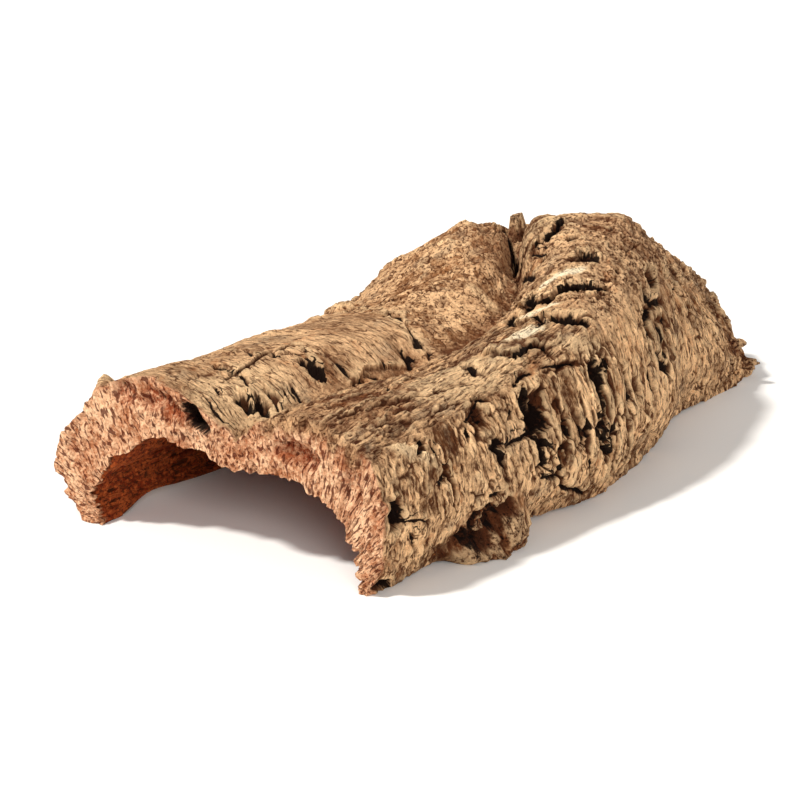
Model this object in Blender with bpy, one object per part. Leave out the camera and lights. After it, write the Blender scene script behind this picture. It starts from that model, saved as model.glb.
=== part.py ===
"""A piece of cork bark: a half-round length from a limb, sawn at its near end and broken at its far end.

It lies along Y on its two long edges, with the hollow side down. Places on its skin are given in mm as
(length, girth): length from the sawn end, and girth round the outside from the left edge to the right one.
"""

import bpy
import numpy as np

MM = 0.001
NAME = "bark"

# Stations along the length where the sections below are taken.
STATIONS = (0, 40, 80, 105, 125, 145, 165, 190, 215, 245, 280, 312)

# Outer skin as (x, z) in mm at each station: left edge, left belly, left shoulder, left crest, slope to the
# valley, valley, slope from the valley, right crest, right shoulder, right belly, right edge.
OUTER_GIRTH = (0, 25, 52, 83, 112, 126, 141, 155, 189, 211, 236)
OUTER = (
    ((-8, 0), (-20, 19), (-7, 43), (22, 59), (50, 52), (62, 44), (74, 53), (87, 57), (118, 46), (124, 24), (118, 0)),
    ((-7, 1), (-17, 18), (-5, 42), (22, 57), (50, 53), (63, 45), (76, 51), (91, 56), (121, 49), (129, 24), (121, 0)),
    ((-6, 0), (-16, 19), (-6, 41), (22, 54), (56, 54), (70, 46), (81, 51), (95, 58), (126, 54), (138, 26), (128, 0)),
    ((-5, 1), (-15, 20), (-6, 41), (23, 53), (59, 55), (75, 47), (86, 53), (98, 59), (129, 56), (141, 26), (133, 0)),
    ((-5, 1), (-15, 20), (-6, 41), (25, 53), (61, 57), (80, 50), (89, 56), (101, 62), (131, 60), (143, 26), (137, 0)),
    ((-6, 2), (-16, 20), (-5, 40), (31, 58), (64, 63), (80, 53), (88, 63), (101, 72), (131, 62), (142, 26), (135, 0)),
    ((-6, 2), (-16, 20), (-5, 42), (36, 71), (64, 68), (75, 57), (84, 72), (98, 81), (128, 64), (140, 27), (133, 0)),
    ((-7, 2), (-17, 21), (-7, 46), (38, 78), (55, 75), (62, 65), (69, 79), (93, 84), (123, 64), (135, 29), (129, 0)),
    ((-7, 1), (-16, 20), (-7, 46), (31, 69), (45, 71), (53, 71), (64, 78), (91, 83), (118, 60), (126, 29), (122, 0)),
    ((-5, 0), (-13, 19), (-3, 43), (30, 62), (44, 66), (56, 68), (70, 73), (89, 71), (111, 49), (123, 25), (121, 0)),
    ((-2, 0), (-9, 17), (1, 38), (28, 55), (44, 59), (57, 60), (70, 58), (85, 53), (107, 37), (121, 18), (123, 0)),
    ((1, 1), (-5, 15), (5, 33), (28, 49), (44, 52), (56, 51), (68, 47), (80, 41), (100, 26), (115, 10), (120, 0)),
)

# Which of those points are the two crests.
LEFT_CREST, RIGHT_CREST = 3, 7

# Inner face as (x, z) in mm at each station: left edge, left wall, left haunch, crown, right haunch, right
# wall, right edge.
INNER_GIRTH = (0, 40, 75, 120, 165, 200, 236)
INNER = (
    ((1, 0), (0, 17), (24, 36), (60, 35), (97, 31), (110, 17), (113, 0)),
    ((2, 0), (1, 18), (24, 37), (62, 35), (98, 34), (112, 19), (114, 0)),
    ((3, 0), (1, 18), (25, 36), (66, 34), (102, 38), (118, 20), (119, 0)),
    ((4, 0), (2, 19), (26, 37), (70, 35), (105, 40), (121, 20), (122, 0)),
    ((4, 0), (2, 19), (27, 39), (74, 37), (107, 43), (123, 21), (124, 0)),
    ((4, 0), (2, 20), (29, 44), (74, 41), (106, 50), (122, 22), (122, 0)),
    ((4, 0), (2, 20), (30, 49), (71, 45), (104, 54), (120, 22), (119, 0)),
    ((4, 0), (1, 20), (31, 51), (66, 50), (101, 56), (115, 22), (116, 0)),
    ((4, 0), (1, 20), (30, 48), (64, 53), (98, 52), (109, 20), (110, 0)),
    ((5, 0), (3, 18), (29, 43), (62, 51), (92, 43), (106, 17), (109, 0)),
    ((8, 0), (7, 16), (28, 38), (60, 43), (86, 30), (103, 11), (110, 0)),
    ((10, 0), (10, 14), (29, 33), (57, 35), (80, 22), (99, 6), (108, 0)),
)

# Length of the bark at each girth, where its far end broke off.
FAR_GIRTH = (0, 30, 60, 85, 110, 125, 150, 175, 190, 203, 216, 236)
FAR_END = (284, 291, 287, 299, 301, 293, 300, 306, 305, 298, 300, 311)

# Where the two long edges are worn up off the ground, in mm at each length.
EDGE_LENGTH = (0, 10, 26, 45, 66, 90, 120, 150, 180, 210, 235, 262, 285, 312)
LEFT_EDGE_LIFT = (0, 0, 4.5, 3, 1.5, 2, 4, 3, 4, 2, 0, 0, 3, 6)
RIGHT_EDGE_LIFT = (0, 0, 0.8, 1, 0, 1.5, 0.6, 0, 1, 1.5, 1, 0, 0, 0)
EDGE_REACH = 14

# Open cracks: width, depth, then the line they follow.
CRACKS = (
    (3.0, 3.5, ((24, 103), (37, 102), (54, 100), (61, 102), (64, 105), (64, 109))),
    (2.2, 2.5, ((27, 101), (30, 105), (29, 111))),
    (2.2, 2.5, ((70, 108), (69, 118), (69, 125))),
    (2.8, 3.0, ((2, 62), (24, 66), (52, 64), (80, 70), (112, 73))),
    (3.2, 4.5, ((127, 88), (119, 99), (113, 107), (110, 115), (106, 124))),
    (4.5, 5.5, ((146, 127), (165, 126), (184, 125), (193, 119), (205, 111), (216, 108))),
    (5.5, 8.0, ((116, 133), (128, 131), (142, 128))),
    (2.8, 4.0, ((88, 172), (91, 178), (101, 179), (105, 183), (104, 188))),
    (3.2, 4.5, ((135, 151), (134, 158), (138, 167), (144, 173), (152, 181))),
    (3.0, 4.0, ((119, 172), (124, 179), (132, 184))),
    (3.0, 4.0, ((158, 163), (164, 172))),
    (3.0, 4.0, ((182, 138), (181, 145), (187, 151))),
    (5.0, 8.5, ((122, 191), (120, 198), (118, 203), (116, 208), (115, 213), (120, 219))),
    (3.4, 5.5, ((82, 190), (81, 198))),
    (3.4, 4.6, ((90, 193), (85, 200))),
    (4.4, 7.0, ((80, 204), (81, 208), (83, 213))),
    (4.0, 6.0, ((89, 209), (91, 216), (95, 223))),
    (3.2, 5.0, ((98, 200), (96, 206), (94, 213))),
    (3.4, 5.5, ((108, 199), (106, 207), (104, 216))),
    (2.8, 4.0, ((112, 203), (111, 212))),
    (3.4, 5.0, ((132, 204), (134, 212), (138, 224))),
    (2.6, 3.5, ((126, 190), (128, 197), (127, 205))),
    (2.6, 3.0, ((95, 189), (105, 190), (115, 193))),
    (3.6, 5.0, ((26, 188), (27, 196))),
    (4.0, 5.5, ((33, 198), (36, 206), (35, 211))),
    (3.0, 3.5, ((57, 201), (60, 206), (62, 211))),
    (3.0, 3.5, ((60, 186), (57, 193), (51, 197))),
    (4.4, 6.5, ((181, 189), (173, 193), (168, 199))),
    (3.4, 5.0, ((187, 199), (183, 208))),
    (3.0, 4.5, ((210, 192), (206, 203), (209, 216))),
    (3.0, 4.5, ((236, 190), (231, 204), (235, 219))),
    (3.0, 4.0, ((262, 186), (257, 200), (262, 214))),
    (3.0, 4.0, ((152, 205), (156, 216), (153, 226))),
    (3.0, 4.0, ((20, 150), (48, 156), (78, 163))),
    (2.6, 3.0, ((8, 168), (36, 171), (66, 180))),
    (3.2, 4.5, ((214, 160), (232, 150), (252, 152), (270, 143))),
    (3.2, 4.5, ((150, 30), (160, 44), (156, 60))),
    (3.4, 5.0, ((66, 18), (74, 32), (70, 47))),
    (3.0, 4.0, ((205, 20), (198, 36), (204, 54), (197, 70))),
    (3.0, 4.0, ((238, 60), (262, 66), (285, 62))),
)

# Holes and hollows: length, girth, half length, half girth, depth. A negative depth is a knob.
HOLES = (
    (20.5, 114, 2.4, 3.0, 5.0),
    (26, 119, 3.4, 2.6, 6.0),
    (55, 116, 5.5, 8.5, 6.5),
    (86, 128, 10, 4.0, 2.5),
    (117, 89, 2.6, 2.6, 4.0),
    (124, 93, 2.8, 2.4, 4.0),
    (186, 129, 4.5, 4.0, 4.0),
    (73, 174, 2.6, 4.2, 5.0),
    (175, 155, 3.2, 3.0, 4.0),
    (81, 200, 4.8, 4.2, 9.0),
    (7, 207, 3.0, 5.5, 6.0),
    (56, 192, 4.5, 4.0, 3.0),
    (193, 187, 3.8, 3.4, 6.0),
    (219, 188, 4.4, 3.4, 6.0),
    (187, 194, 3.6, 3.4, 5.0),
    (147, 205, 3.0, 3.0, 3.5),
    (50, 227, 5.5, 3.6, 6.5),
    (61, 219, 4.0, 3.0, 4.5),
    (5, 233, 5.5, 3.0, 3.5),
    (3, 61, 4.0, 4.6, -4.5),
    (199, 136, 4.0, 4.5, -4.5),
    (49, 234, 11, 11, -12.0),
    (65, 233, 11, 13, -12.0),
    (279, 211, 3.4, 3.0, -6.5),
    (298, 224, 3.4, 3.6, -5.0),
    (118, 80, 4.0, 4.0, -2.5),
    (224, 86, 16, 14, -2.5),
    (205, 150, 7.0, 7.0, 1.8),
    (192, 95, 9.0, 9.0, 3.8),
    (223, 99, 6.0, 6.0, -4.5),
    (6, 71, 4.0, 4.0, 3.0),
)

# Lifted edges of plates and flakes: height, reach, then the line. The plate lies to the left of its line,
# looking from the first point to the last with length to the right and girth up.
LIPS = (
    (2.6, 26, ((128, 62), (127, 88), (119, 99), (113, 107), (109, 116), (106, 125))),
    (2.4, 12, ((66, 98), (64, 106), (61, 114), (59, 122))),
    (2.2, 10, ((100, 124), (88, 122), (80, 120), (72, 121), (66, 124))),
    (2.0, 14, ((6, 122), (30, 121), (46, 119))),
    (3.0, 12, ((133, 146), (134, 158), (139, 168), (153, 182))),
    (2.4, 10, ((118, 150), (114, 160), (118, 171), (132, 184))),
    (2.2, 9, ((157, 160), (164, 173))),
    (2.6, 9, ((180, 134), (180, 146), (188, 154))),
    (2.2, 10, ((10, 186), (20, 190), (30, 196), (32, 203))),
    (2.0, 12, ((86, 170), (92, 179), (106, 183))),
    (2.2, 14, ((206, 118), (202, 140), (210, 166))),
    (2.2, 16, ((236, 80), (240, 110), (233, 140), (242, 170))),
    (2.2, 14, ((175, 66), (168, 84), (172, 104))),
    (2.0, 14, ((60, 10), (52, 26), (58, 48))),
    (2.0, 16, ((130, 6), (122, 26), (128, 50))),
    (2.0, 16, ((226, 10), (216, 30), (222, 56))),
)

# Hollows in the sawn face: girth, place through the wall from 0 inside to 1 outside, half girth, half
# thickness, depth.
FACE_HOLES = (
    (104, 0.76, 6, 0.13, 12),
    (89, 0.72, 11, 0.15, 4),
    (154, 0.52, 9, 0.16, 4),
    (186, 0.45, 8, 0.20, 2),
)

# The middle of the bark's own box, from the left edge at the sawn end.
CENTRE = (62.4, 154.7)
ROWS, COLUMNS, LAYERS = 150, 112, 6
SOLID_TRIANGLES = 11200
# Points lower than this come down to the ground.
LEVEL = 0.35


def smooth(low, high, x):
    """0 below low, 1 above high, and an S between."""
    f = np.clip((x - low) / (high - low), 0, 1)
    return f * f * (3 - 2 * f)


def spline(knots, values, at):
    """The smooth curve through the values at the knots, read at each place in at."""
    knots, values = np.asarray(knots, float), np.asarray(values, float)
    slopes = np.gradient(values, knots, axis=0)
    i = np.clip(np.searchsorted(knots, at) - 1, 0, len(knots) - 2)
    shape = np.shape(at) + (1,) * (values.ndim - 1)
    gap = (knots[i + 1] - knots[i]).reshape(shape)
    f = np.clip((at - knots[i]).reshape(shape) / gap, 0, 1)
    g = 1 - f
    line = (1 + 2 * f) * g**2 * values[i] + f**2 * (3 - 2 * f) * values[i + 1]
    return line + gap * f * g * (g * slopes[i] - f * slopes[i + 1])


def loft(knots, sections, length, girth):
    """Points of the skin through a table of sections."""
    along = spline(STATIONS, np.eye(len(STATIONS)), length)
    around = spline(knots, np.eye(len(knots)), girth)
    flat = np.einsum("...s,...g,sgk->...k", along, around, np.array(sections, float), optimize=True)
    return np.stack([flat[..., 0], length, flat[..., 1]], axis=-1)


def chance(x, y, z, seed):
    """A number from -1 to 1 for each whole-number place."""
    mixed = (x * 73856093) ^ (y * 19349663) ^ (z * 83492791) ^ (seed * 40503)
    mixed = (mixed ^ (mixed >> 13)) * 1274126177
    return ((mixed ^ (mixed >> 16)) & 0xFFFF) / 32767.5 - 1


def noise(x, y, z, seed):
    """Smooth noise from -1 to 1 with cells of one unit."""
    x, y, z = np.broadcast_arrays(x, y, z)
    cell = [np.floor(a).astype(np.int64) for a in (x, y, z)]
    f, g, h = (a - c for a, c in zip((x, y, z), cell))
    f, g, h = (a * a * a * (a * (6 * a - 15) + 10) for a in (f, g, h))
    total = 0
    for i, wx in ((0, 1 - f), (1, f)):
        for j, wy in ((0, 1 - g), (1, g)):
            for k, wz in ((0, 1 - h), (1, h)):
                total = total + wx * wy * wz * chance(cell[0] + i, cell[1] + j, cell[2] + k, seed)
    return total


def layered(x, y, z, seed, octaves):
    """Noise with finer and weaker layers added."""
    return sum(noise(x * 2**k, y * 2**k, z * 2**k, seed + k) / 2**k for k in range(octaves)) / 1.6


def ridged(x, y, z, seed):
    """Noise with sharp ridges, from 0 in the furrows to 1 on the ridges."""
    return 1 - np.abs(noise(x, y, z, seed)) * 1.6


def along_path(s, t, path):
    """Distance to a line, the side of it, and how far along it from 0 to 1, for each place."""
    nearest, side, where = np.full(s.shape, 1e9), np.ones(s.shape), np.zeros(s.shape)
    for k, ((s0, t0), (s1, t1)) in enumerate(zip(path, path[1:])):
        ds, dt = s1 - s0, t1 - t0
        f = np.clip(((s - s0) * ds + (t - t0) * dt) / (ds * ds + dt * dt), 0, 1)
        distance = np.hypot(s - s0 - f * ds, t - t0 - f * dt)
        closer = distance < nearest
        nearest = np.where(closer, distance, nearest)
        side = np.where(closer, np.sign(ds * (t - t0) - dt * (s - s0)), side)
        where = np.where(closer, (k + f) / (len(path) - 1), where)
    return nearest, side, where


def grain(s, t):
    """Height of the bark's own texture: fibres along the right lobe, ribs round the flank, lumps and plates."""
    plates = smooth(58, 66, t) * smooth(126, 118, t) * smooth(118, 106, s)
    lumps = smooth(56, 66, t) * smooth(126, 118, t) * smooth(106, 118, s) * smooth(250, 215, s)
    hump = smooth(122, 130, t) * smooth(192, 184, t) * smooth(122, 138, s)
    fibres = smooth(122, 130, t) * smooth(192, 184, t) * smooth(138, 122, s)
    flank = smooth(184, 194, t)
    back = smooth(66, 56, t)
    bend = 6 * noise(s / 34, t / 30, 0, 3)
    height = plates * 1.0 * ridged(s / 10, (t + bend) / 40, 0.3, 11)
    height = height + lumps * 2.6 * layered(s / 12, t / 12, 0.7, 12, 3)
    height = height + hump * 2.2 * (ridged((s - 0.5 * t) / 9, (t + bend) / 26, 1.1, 13) - 0.5)
    height = height + fibres * 2.0 * (ridged(s / 34, (t + 0.5 * bend) / 8, 1.9, 14) - 0.5)
    ribs = ridged((s + 0.8 * bend) / 8.5, t / 30, 2.7, 15) - 0.5
    height = height + flank * (1.6 + 1.6 * smooth(60, 85, s)) * ribs
    height = height + back * 2.2 * (ridged((s + bend) / 13, (t + bend) / 16, 3.3, 16) - 0.5)
    return height


def relief(s, t):
    """Height in mm that every feature of the outer skin adds, at each (length, girth)."""
    s, t = s + 1.3 * noise(s / 6, t / 6, 5.5, 21), t + 1.3 * noise(s / 6, t / 6, 9.5, 22)
    height = grain(s, t) + 1.8 * noise(s / 26, t / 24, 4.4, 23) + 0.7 * noise(s / 11, t / 10, 4.9, 24)
    for lift, reach, path in LIPS:
        distance, side, where = along_path(s, t, path)
        taper = smooth(0, 0.18, where) * smooth(1, 0.82, where)
        height = height + np.where(side > 0, lift * taper * np.exp(-distance / reach), 0)
    for half_width, depth, path in CRACKS:
        distance, _, where = along_path(s, t, path)
        taper = 0.45 + 0.55 * np.sin(np.pi * np.clip(where, 0.02, 0.98))
        height = height - depth * taper * smooth(1, 0.1, 2 * distance / (half_width * taper + 0.6))
    for s0, t0, half_s, half_t, depth in HOLES:
        away = np.hypot((s - s0) / half_s, (t - t0) / half_t)
        height = height - depth * smooth(1.25, 0.45, away)
    return height


def hollow(s, t):
    """Height of the soft waves and furrows of the inner face."""
    return 1.0 * noise(s / 26, t / 20, 6.6, 31) + 0.6 * noise(s / 12, t / 7, 7.7, 32)


def outward(points):
    """Unit normals of a grid of points, out of the bark."""
    across = np.cross(np.gradient(points, axis=0), np.gradient(points, axis=1))
    return across / -np.linalg.norm(across, axis=-1, keepdims=True)


def without_valley(sections):
    """The outer sections with a straight top from crest to crest, which gives the relief an even direction."""
    table = np.array(sections, float)
    first, last = LEFT_CREST, RIGHT_CREST
    for k in range(first + 1, last):
        f = (OUTER_GIRTH[k] - OUTER_GIRTH[first]) / (OUTER_GIRTH[last] - OUTER_GIRTH[first])
        table[:, k] = (1 - f) * table[:, first] + f * table[:, last]
    return table


def skins():
    """Grids of points on the inner face and the outer skin, and the girth of each column."""
    girth = np.linspace(0, OUTER_GIRTH[-1], COLUMNS + 1)[None, :] + np.zeros((ROWS + 1, 1))
    share = np.linspace(0, 1, ROWS + 1)[:, None]
    end = spline(FAR_GIRTH, FAR_END, girth)
    length = share * end
    inner = loft(INNER_GIRTH, INNER, length, girth)
    outer = loft(OUTER_GIRTH, OUTER, length, girth)
    from_ends = np.minimum(length, end - length)
    from_edges = np.minimum(girth, OUTER_GIRTH[-1] - girth)
    whole = (0.3 + 0.7 * smooth(0, 6, from_ends)) * smooth(-2, 7, from_edges)
    out = outward(loft(OUTER_GIRTH, without_valley(OUTER), length, girth))
    outer = outer + (relief(length, girth) * whole)[..., None] * out
    inner = inner - (hollow(length, girth) * whole)[..., None] * outward(inner)
    left = spline(EDGE_LENGTH, LEFT_EDGE_LIFT, length) * smooth(EDGE_REACH, 0, girth)
    right = spline(EDGE_LENGTH, RIGHT_EDGE_LIFT, length) * smooth(EDGE_REACH, 0, OUTER_GIRTH[-1] - girth)
    for skin in (inner, outer):
        skin[..., 2] += left + right
    return inner, outer, girth


def box_shell(rows, columns, layers):
    """The outside of a block of cells: whole-number places of its corners, and its four-sided faces."""
    size = (rows, columns, layers)
    sides = []
    for axis in range(3):
        first, second = (axis + 1) % 3, (axis + 2) % 3
        a, b = np.meshgrid(np.arange(size[first]), np.arange(size[second]), indexing="ij")
        for end in (0, size[axis]):
            ring = ((0, 0), (0, 1), (1, 1), (1, 0)) if end else ((0, 0), (1, 0), (1, 1), (0, 1))
            corners = np.zeros(a.shape + (4, 3), int)
            corners[..., axis] = end
            for k, (da, db) in enumerate(ring):
                corners[..., k, first] = a + da
                corners[..., k, second] = b + db
            sides.append(corners.reshape(-1, 4, 3))
    corners = np.concatenate(sides)
    places, index = np.unique(corners.reshape(-1, 3), axis=0, return_inverse=True)
    return places, index.reshape(-1, 4)


def end_face(points, places, girth):
    """Moves the points of the two end faces along the bark: saw marks and torn holes, and a ragged break."""
    row, column, layer = places.T
    depth = layer / LAYERS
    sawn = 0.5 * noise(points[:, 0] / 7, points[:, 2] / 7, 8.8, 41)
    for g0, d0, half_g, half_d, deep in FACE_HOLES:
        sawn = sawn + deep * smooth(1.2, 0.3, np.hypot((girth - g0) / half_g, (depth - d0) / half_d))
    broken = 3.0 * noise(points[:, 0] / 9, points[:, 2] / 9, 9.9, 42) - 4 * (depth - 0.5)
    points[:, 1] += np.where(row == 0, sawn, 0) + broken * smooth(0.94, 1, row / ROWS)


def bark_mesh():
    """The mesh of the whole bark, closed, with its points in metres."""
    inner, outer, girths = skins()
    places, faces = box_shell(ROWS, COLUMNS, LAYERS)
    row, column, layer = places.T
    share = (layer / LAYERS)[:, None]
    points = inner[row, column] * (1 - share) + outer[row, column] * share
    end_face(points, places, girths[row, column])
    points[:, 2] = np.maximum(points[:, 2], 0)
    points[:, 0] -= CENTRE[0]
    points[:, 1] -= CENTRE[1]
    mesh = bpy.data.meshes.new(NAME)
    mesh.from_pydata((points * MM).tolist(), [], faces.tolist())
    mesh.update()
    return mesh


def cork():
    """The bark's own colour and finish."""
    material = bpy.data.materials.new("cork_bark")
    material.use_nodes = True
    shader = material.node_tree.nodes["Principled BSDF"]
    shader.inputs["Base Color"].default_value = (0.36, 0.22, 0.13, 1)
    shader.inputs["Roughness"].default_value = 0.95
    shader.inputs["Metallic"].default_value = 0
    return material


def with_fewer_faces(bark):
    """The bark's mesh with its flatter faces joined, and its feet level on the ground."""
    fewer = bark.modifiers.new("fewer_faces", "DECIMATE")
    bark.data.calc_loop_triangles()
    fewer.ratio = SOLID_TRIANGLES / len(bark.data.loop_triangles)
    graph = bpy.context.evaluated_depsgraph_get()
    mesh = bpy.data.meshes.new_from_object(bark.evaluated_get(graph))
    bark.modifiers.remove(fewer)
    for vertex in mesh.vertices:
        if vertex.co.z < LEVEL * MM:
            vertex.co.z = 0
    return mesh


def main():
    for old in list(bpy.data.objects):
        bpy.data.objects.remove(old)
    bark = bpy.data.objects.new(NAME, bark_mesh())
    bpy.context.scene.collection.objects.link(bark)
    bark.data.materials.append(cork())
    bark.data = with_fewer_faces(bark)


if __name__ == "__main__":
    main()
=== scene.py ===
"""Looks of a piece of cork bark: a half-round length, sawn at its near end and broken at its far end.

The bark is one closed mesh that stands for the CAD solid. It follows the same form, at a finer grid, with the
fibres, scales, pores and thin cracks that the solid is too coarse for. Places on its skin are given in mm as
(length, girth): length from the sawn end, and girth round the outside from the left edge to the right one.
"""

from __future__ import annotations

import logging
import math
from dataclasses import dataclass, field
from enum import Enum

import bpy
import numpy as np
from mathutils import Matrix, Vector


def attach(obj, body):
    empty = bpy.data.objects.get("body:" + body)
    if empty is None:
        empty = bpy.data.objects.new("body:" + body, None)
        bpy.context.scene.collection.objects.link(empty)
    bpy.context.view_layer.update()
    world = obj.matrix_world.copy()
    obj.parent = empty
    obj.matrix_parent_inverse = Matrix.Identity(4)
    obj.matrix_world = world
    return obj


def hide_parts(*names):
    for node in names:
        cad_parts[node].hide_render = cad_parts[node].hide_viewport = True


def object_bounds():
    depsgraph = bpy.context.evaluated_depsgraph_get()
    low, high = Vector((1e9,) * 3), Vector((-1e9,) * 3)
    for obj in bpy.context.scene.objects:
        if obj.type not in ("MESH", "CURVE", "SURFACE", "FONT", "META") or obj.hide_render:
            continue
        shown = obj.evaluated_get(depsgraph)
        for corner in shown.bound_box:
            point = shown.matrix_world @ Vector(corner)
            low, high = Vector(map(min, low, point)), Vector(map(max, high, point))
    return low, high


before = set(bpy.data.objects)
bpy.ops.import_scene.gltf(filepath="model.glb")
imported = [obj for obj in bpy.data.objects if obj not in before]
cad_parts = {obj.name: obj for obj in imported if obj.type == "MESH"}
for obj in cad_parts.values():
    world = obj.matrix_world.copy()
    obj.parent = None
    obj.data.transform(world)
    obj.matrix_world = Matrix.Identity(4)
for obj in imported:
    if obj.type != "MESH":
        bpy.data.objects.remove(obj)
CAD_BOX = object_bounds()

MM = 0.001
LOG = logging.getLogger("bark")

Grid = np.ndarray
Path = tuple[tuple[float, float], ...]
Colour = tuple[int, int, int]


class Surface(Enum):
    """The kinds of surface of the outer skin; each value is also the name of its mark on the mesh."""

    PLATES = "plates"
    LUMPS = "lumps"
    HUMP = "hump"
    FIBRES = "fibres"
    FLANK = "flank"
    BACK = "back"


# Plain maths on grids of places.


def smooth(low: float, high: float, x: Grid) -> Grid:
    """Makes an S-shaped step.

    Args:
        low: where the step begins.
        high: where it ends; it may be less than low, for a step down.
        x: the places.

    Returns:
        0 on the near side of the step and 1 beyond it.
    """
    f = np.clip((x - low) / (high - low), 0, 1)
    return f * f * (3 - 2 * f)


def spline(knots: tuple, values: Grid, at: Grid) -> Grid:
    """Reads a smooth curve through values at knots.

    Args:
        knots: the places where the values hold, rising.
        values: one value or row of values for each knot.
        at: the places to read.

    Returns:
        The values of the curve there.
    """
    knots, values = np.asarray(knots, float), np.asarray(values, float)
    slopes = np.gradient(values, knots, axis=0)
    i = np.clip(np.searchsorted(knots, at) - 1, 0, len(knots) - 2)
    shape = np.shape(at) + (1,) * (values.ndim - 1)
    gap = (knots[i + 1] - knots[i]).reshape(shape)
    f = np.clip((at - knots[i]).reshape(shape) / gap, 0, 1)
    g = 1 - f
    line = (1 + 2 * f) * g**2 * values[i] + f**2 * (3 - 2 * f) * values[i + 1]
    return line + gap * f * g * (g * slopes[i] - f * slopes[i + 1])


def chance(x: Grid, y: Grid, z: Grid, seed: int) -> Grid:
    """Draws a number for each whole-number place.

    Args:
        x: first whole number of each place.
        y: second whole number.
        z: third whole number.
        seed: which draw it is.

    Returns:
        Numbers from -1 to 1, the same each time.
    """
    mixed = (x * 73856093) ^ (y * 19349663) ^ (z * 83492791) ^ (seed * 40503)
    mixed = (mixed ^ (mixed >> 13)) * 1274126177
    return ((mixed ^ (mixed >> 16)) & 0xFFFF) / 32767.5 - 1


def noise(x: Grid, y: Grid, z: Grid | float, seed: int) -> Grid:
    """Makes smooth noise with cells of one unit.

    Args:
        x: first number of each place.
        y: second number.
        z: third number.
        seed: which noise it is.

    Returns:
        Noise from -1 to 1.
    """
    x, y, z = np.broadcast_arrays(x, y, z)
    cell = [np.floor(a).astype(np.int64) for a in (x, y, z)]
    f, g, h = (a - c for a, c in zip((x, y, z), cell))
    f, g, h = (a * a * a * (a * (6 * a - 15) + 10) for a in (f, g, h))
    total = 0
    for i, wx in ((0, 1 - f), (1, f)):
        for j, wy in ((0, 1 - g), (1, g)):
            for k, wz in ((0, 1 - h), (1, h)):
                total = total + wx * wy * wz * chance(cell[0] + i, cell[1] + j, cell[2] + k, seed)
    return total


def layered(x: Grid, y: Grid, z: Grid | float, seed: int, octaves: int) -> Grid:
    """Adds finer and weaker layers of noise.

    Args:
        x: first number of each place.
        y: second number.
        z: third number.
        seed: which noise it is.
        octaves: how many layers.

    Returns:
        Noise of about -1 to 1.
    """
    return sum(noise(x * 2**k, y * 2**k, z * 2**k, seed + k) / 2**k for k in range(octaves)) / 1.6


def ridged(x: Grid, y: Grid, z: Grid | float, seed: int) -> Grid:
    """Makes noise with sharp ridges.

    Args:
        x: first number of each place.
        y: second number.
        z: third number.
        seed: which noise it is.

    Returns:
        1 on the ridges, down to about 0 between them.
    """
    return 1 - np.abs(noise(x, y, z, seed)) * 1.6


def broken(x: Grid, y: Grid, seed: int) -> tuple[Grid, Grid]:
    """Breaks a surface into flat, tilted pieces of about one unit.

    Args:
        x: first number of each place.
        y: second number.
        seed: which break-up it is.

    Returns:
        How far each place is from the gap round its piece, and its level, from about -1.5 to 1.5.
    """
    column, row = np.floor(x).astype(np.int64), np.floor(y).astype(np.int64)
    nearest, second, level = np.full(x.shape, 9.0), np.full(x.shape, 9.0), np.zeros(x.shape)
    for a in (column - 1, column, column + 1):
        for b in (row - 1, row, row + 1):
            away_x = x - a - 0.5 - 0.4 * chance(a, b, 0, seed)
            away_y = y - b - 0.5 - 0.4 * chance(a, b, 1, seed)
            away = np.hypot(away_x, away_y)
            tilted = chance(a, b, 2, seed) + chance(a, b, 3, seed) * away_x + chance(a, b, 4, seed) * away_y
            closer = away < nearest
            second = np.where(closer, nearest, np.minimum(second, away))
            level = np.where(closer, tilted, level)
            nearest = np.where(closer, away, nearest)
    return second - nearest, level


def blurred(grid: Grid, radius: int) -> Grid:
    """Averages a grid over a square round each cell.

    Args:
        grid: the numbers.
        radius: half the square's side, in cells.

    Returns:
        The averages, twice over, so that the window has no hard edge.
    """
    for axis in (0, 1, 0, 1):
        widths = [(radius + 1, radius) if a == axis else (0, 0) for a in (0, 1)]
        total = np.cumsum(np.pad(grid, widths, mode="edge"), axis=axis)
        size = grid.shape[axis]
        far = np.take(total, range(2 * radius + 1, 2 * radius + 1 + size), axis=axis)
        near = np.take(total, range(size), axis=axis)
        grid = (far - near) / (2 * radius + 1)
    return grid


@dataclass
class Nearest:
    """How each place lies to a line.

    It holds the distance, the side (1 to the line's left, -1 to its right), the share of the way along, and
    the unit step to the line's left.
    """

    distance: Grid
    side: Grid
    where: Grid
    left_s: Grid
    left_t: Grid


def along_path(s: Grid, t: Grid, path: Path) -> Nearest:
    """Finds how each place lies to a line.

    Args:
        s: length of each place.
        t: girth of each place.
        path: the line's points.

    Returns:
        How each place lies to the nearest part of the line.
    """
    shape = np.broadcast_shapes(np.shape(s), np.shape(t))
    found = Nearest(np.full(shape, 1e9), np.ones(shape), *(np.zeros(shape) for _ in range(3)))
    for k, ((s0, t0), (s1, t1)) in enumerate(zip(path, path[1:])):
        ds, dt = s1 - s0, t1 - t0
        f = np.clip(((s - s0) * ds + (t - t0) * dt) / (ds * ds + dt * dt), 0, 1)
        distance = np.hypot(s - s0 - f * ds, t - t0 - f * dt)
        closer = distance < found.distance
        found.distance = np.where(closer, distance, found.distance)
        found.side = np.where(closer, np.sign(ds * (t - t0) - dt * (s - s0)), found.side)
        found.where = np.where(closer, (k + f) / (len(path) - 1), found.where)
        found.left_s = np.where(closer, -dt / math.hypot(ds, dt), found.left_s)
        found.left_t = np.where(closer, ds / math.hypot(ds, dt), found.left_t)
    return found


# The form, as tables of places: what the CAD solid has too, and the finer places that it hasn't.


@dataclass(frozen=True)
class Crack:
    """An open crack: its width and depth in mm, and the line that it follows."""

    width: float
    depth: float
    path: Path


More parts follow.
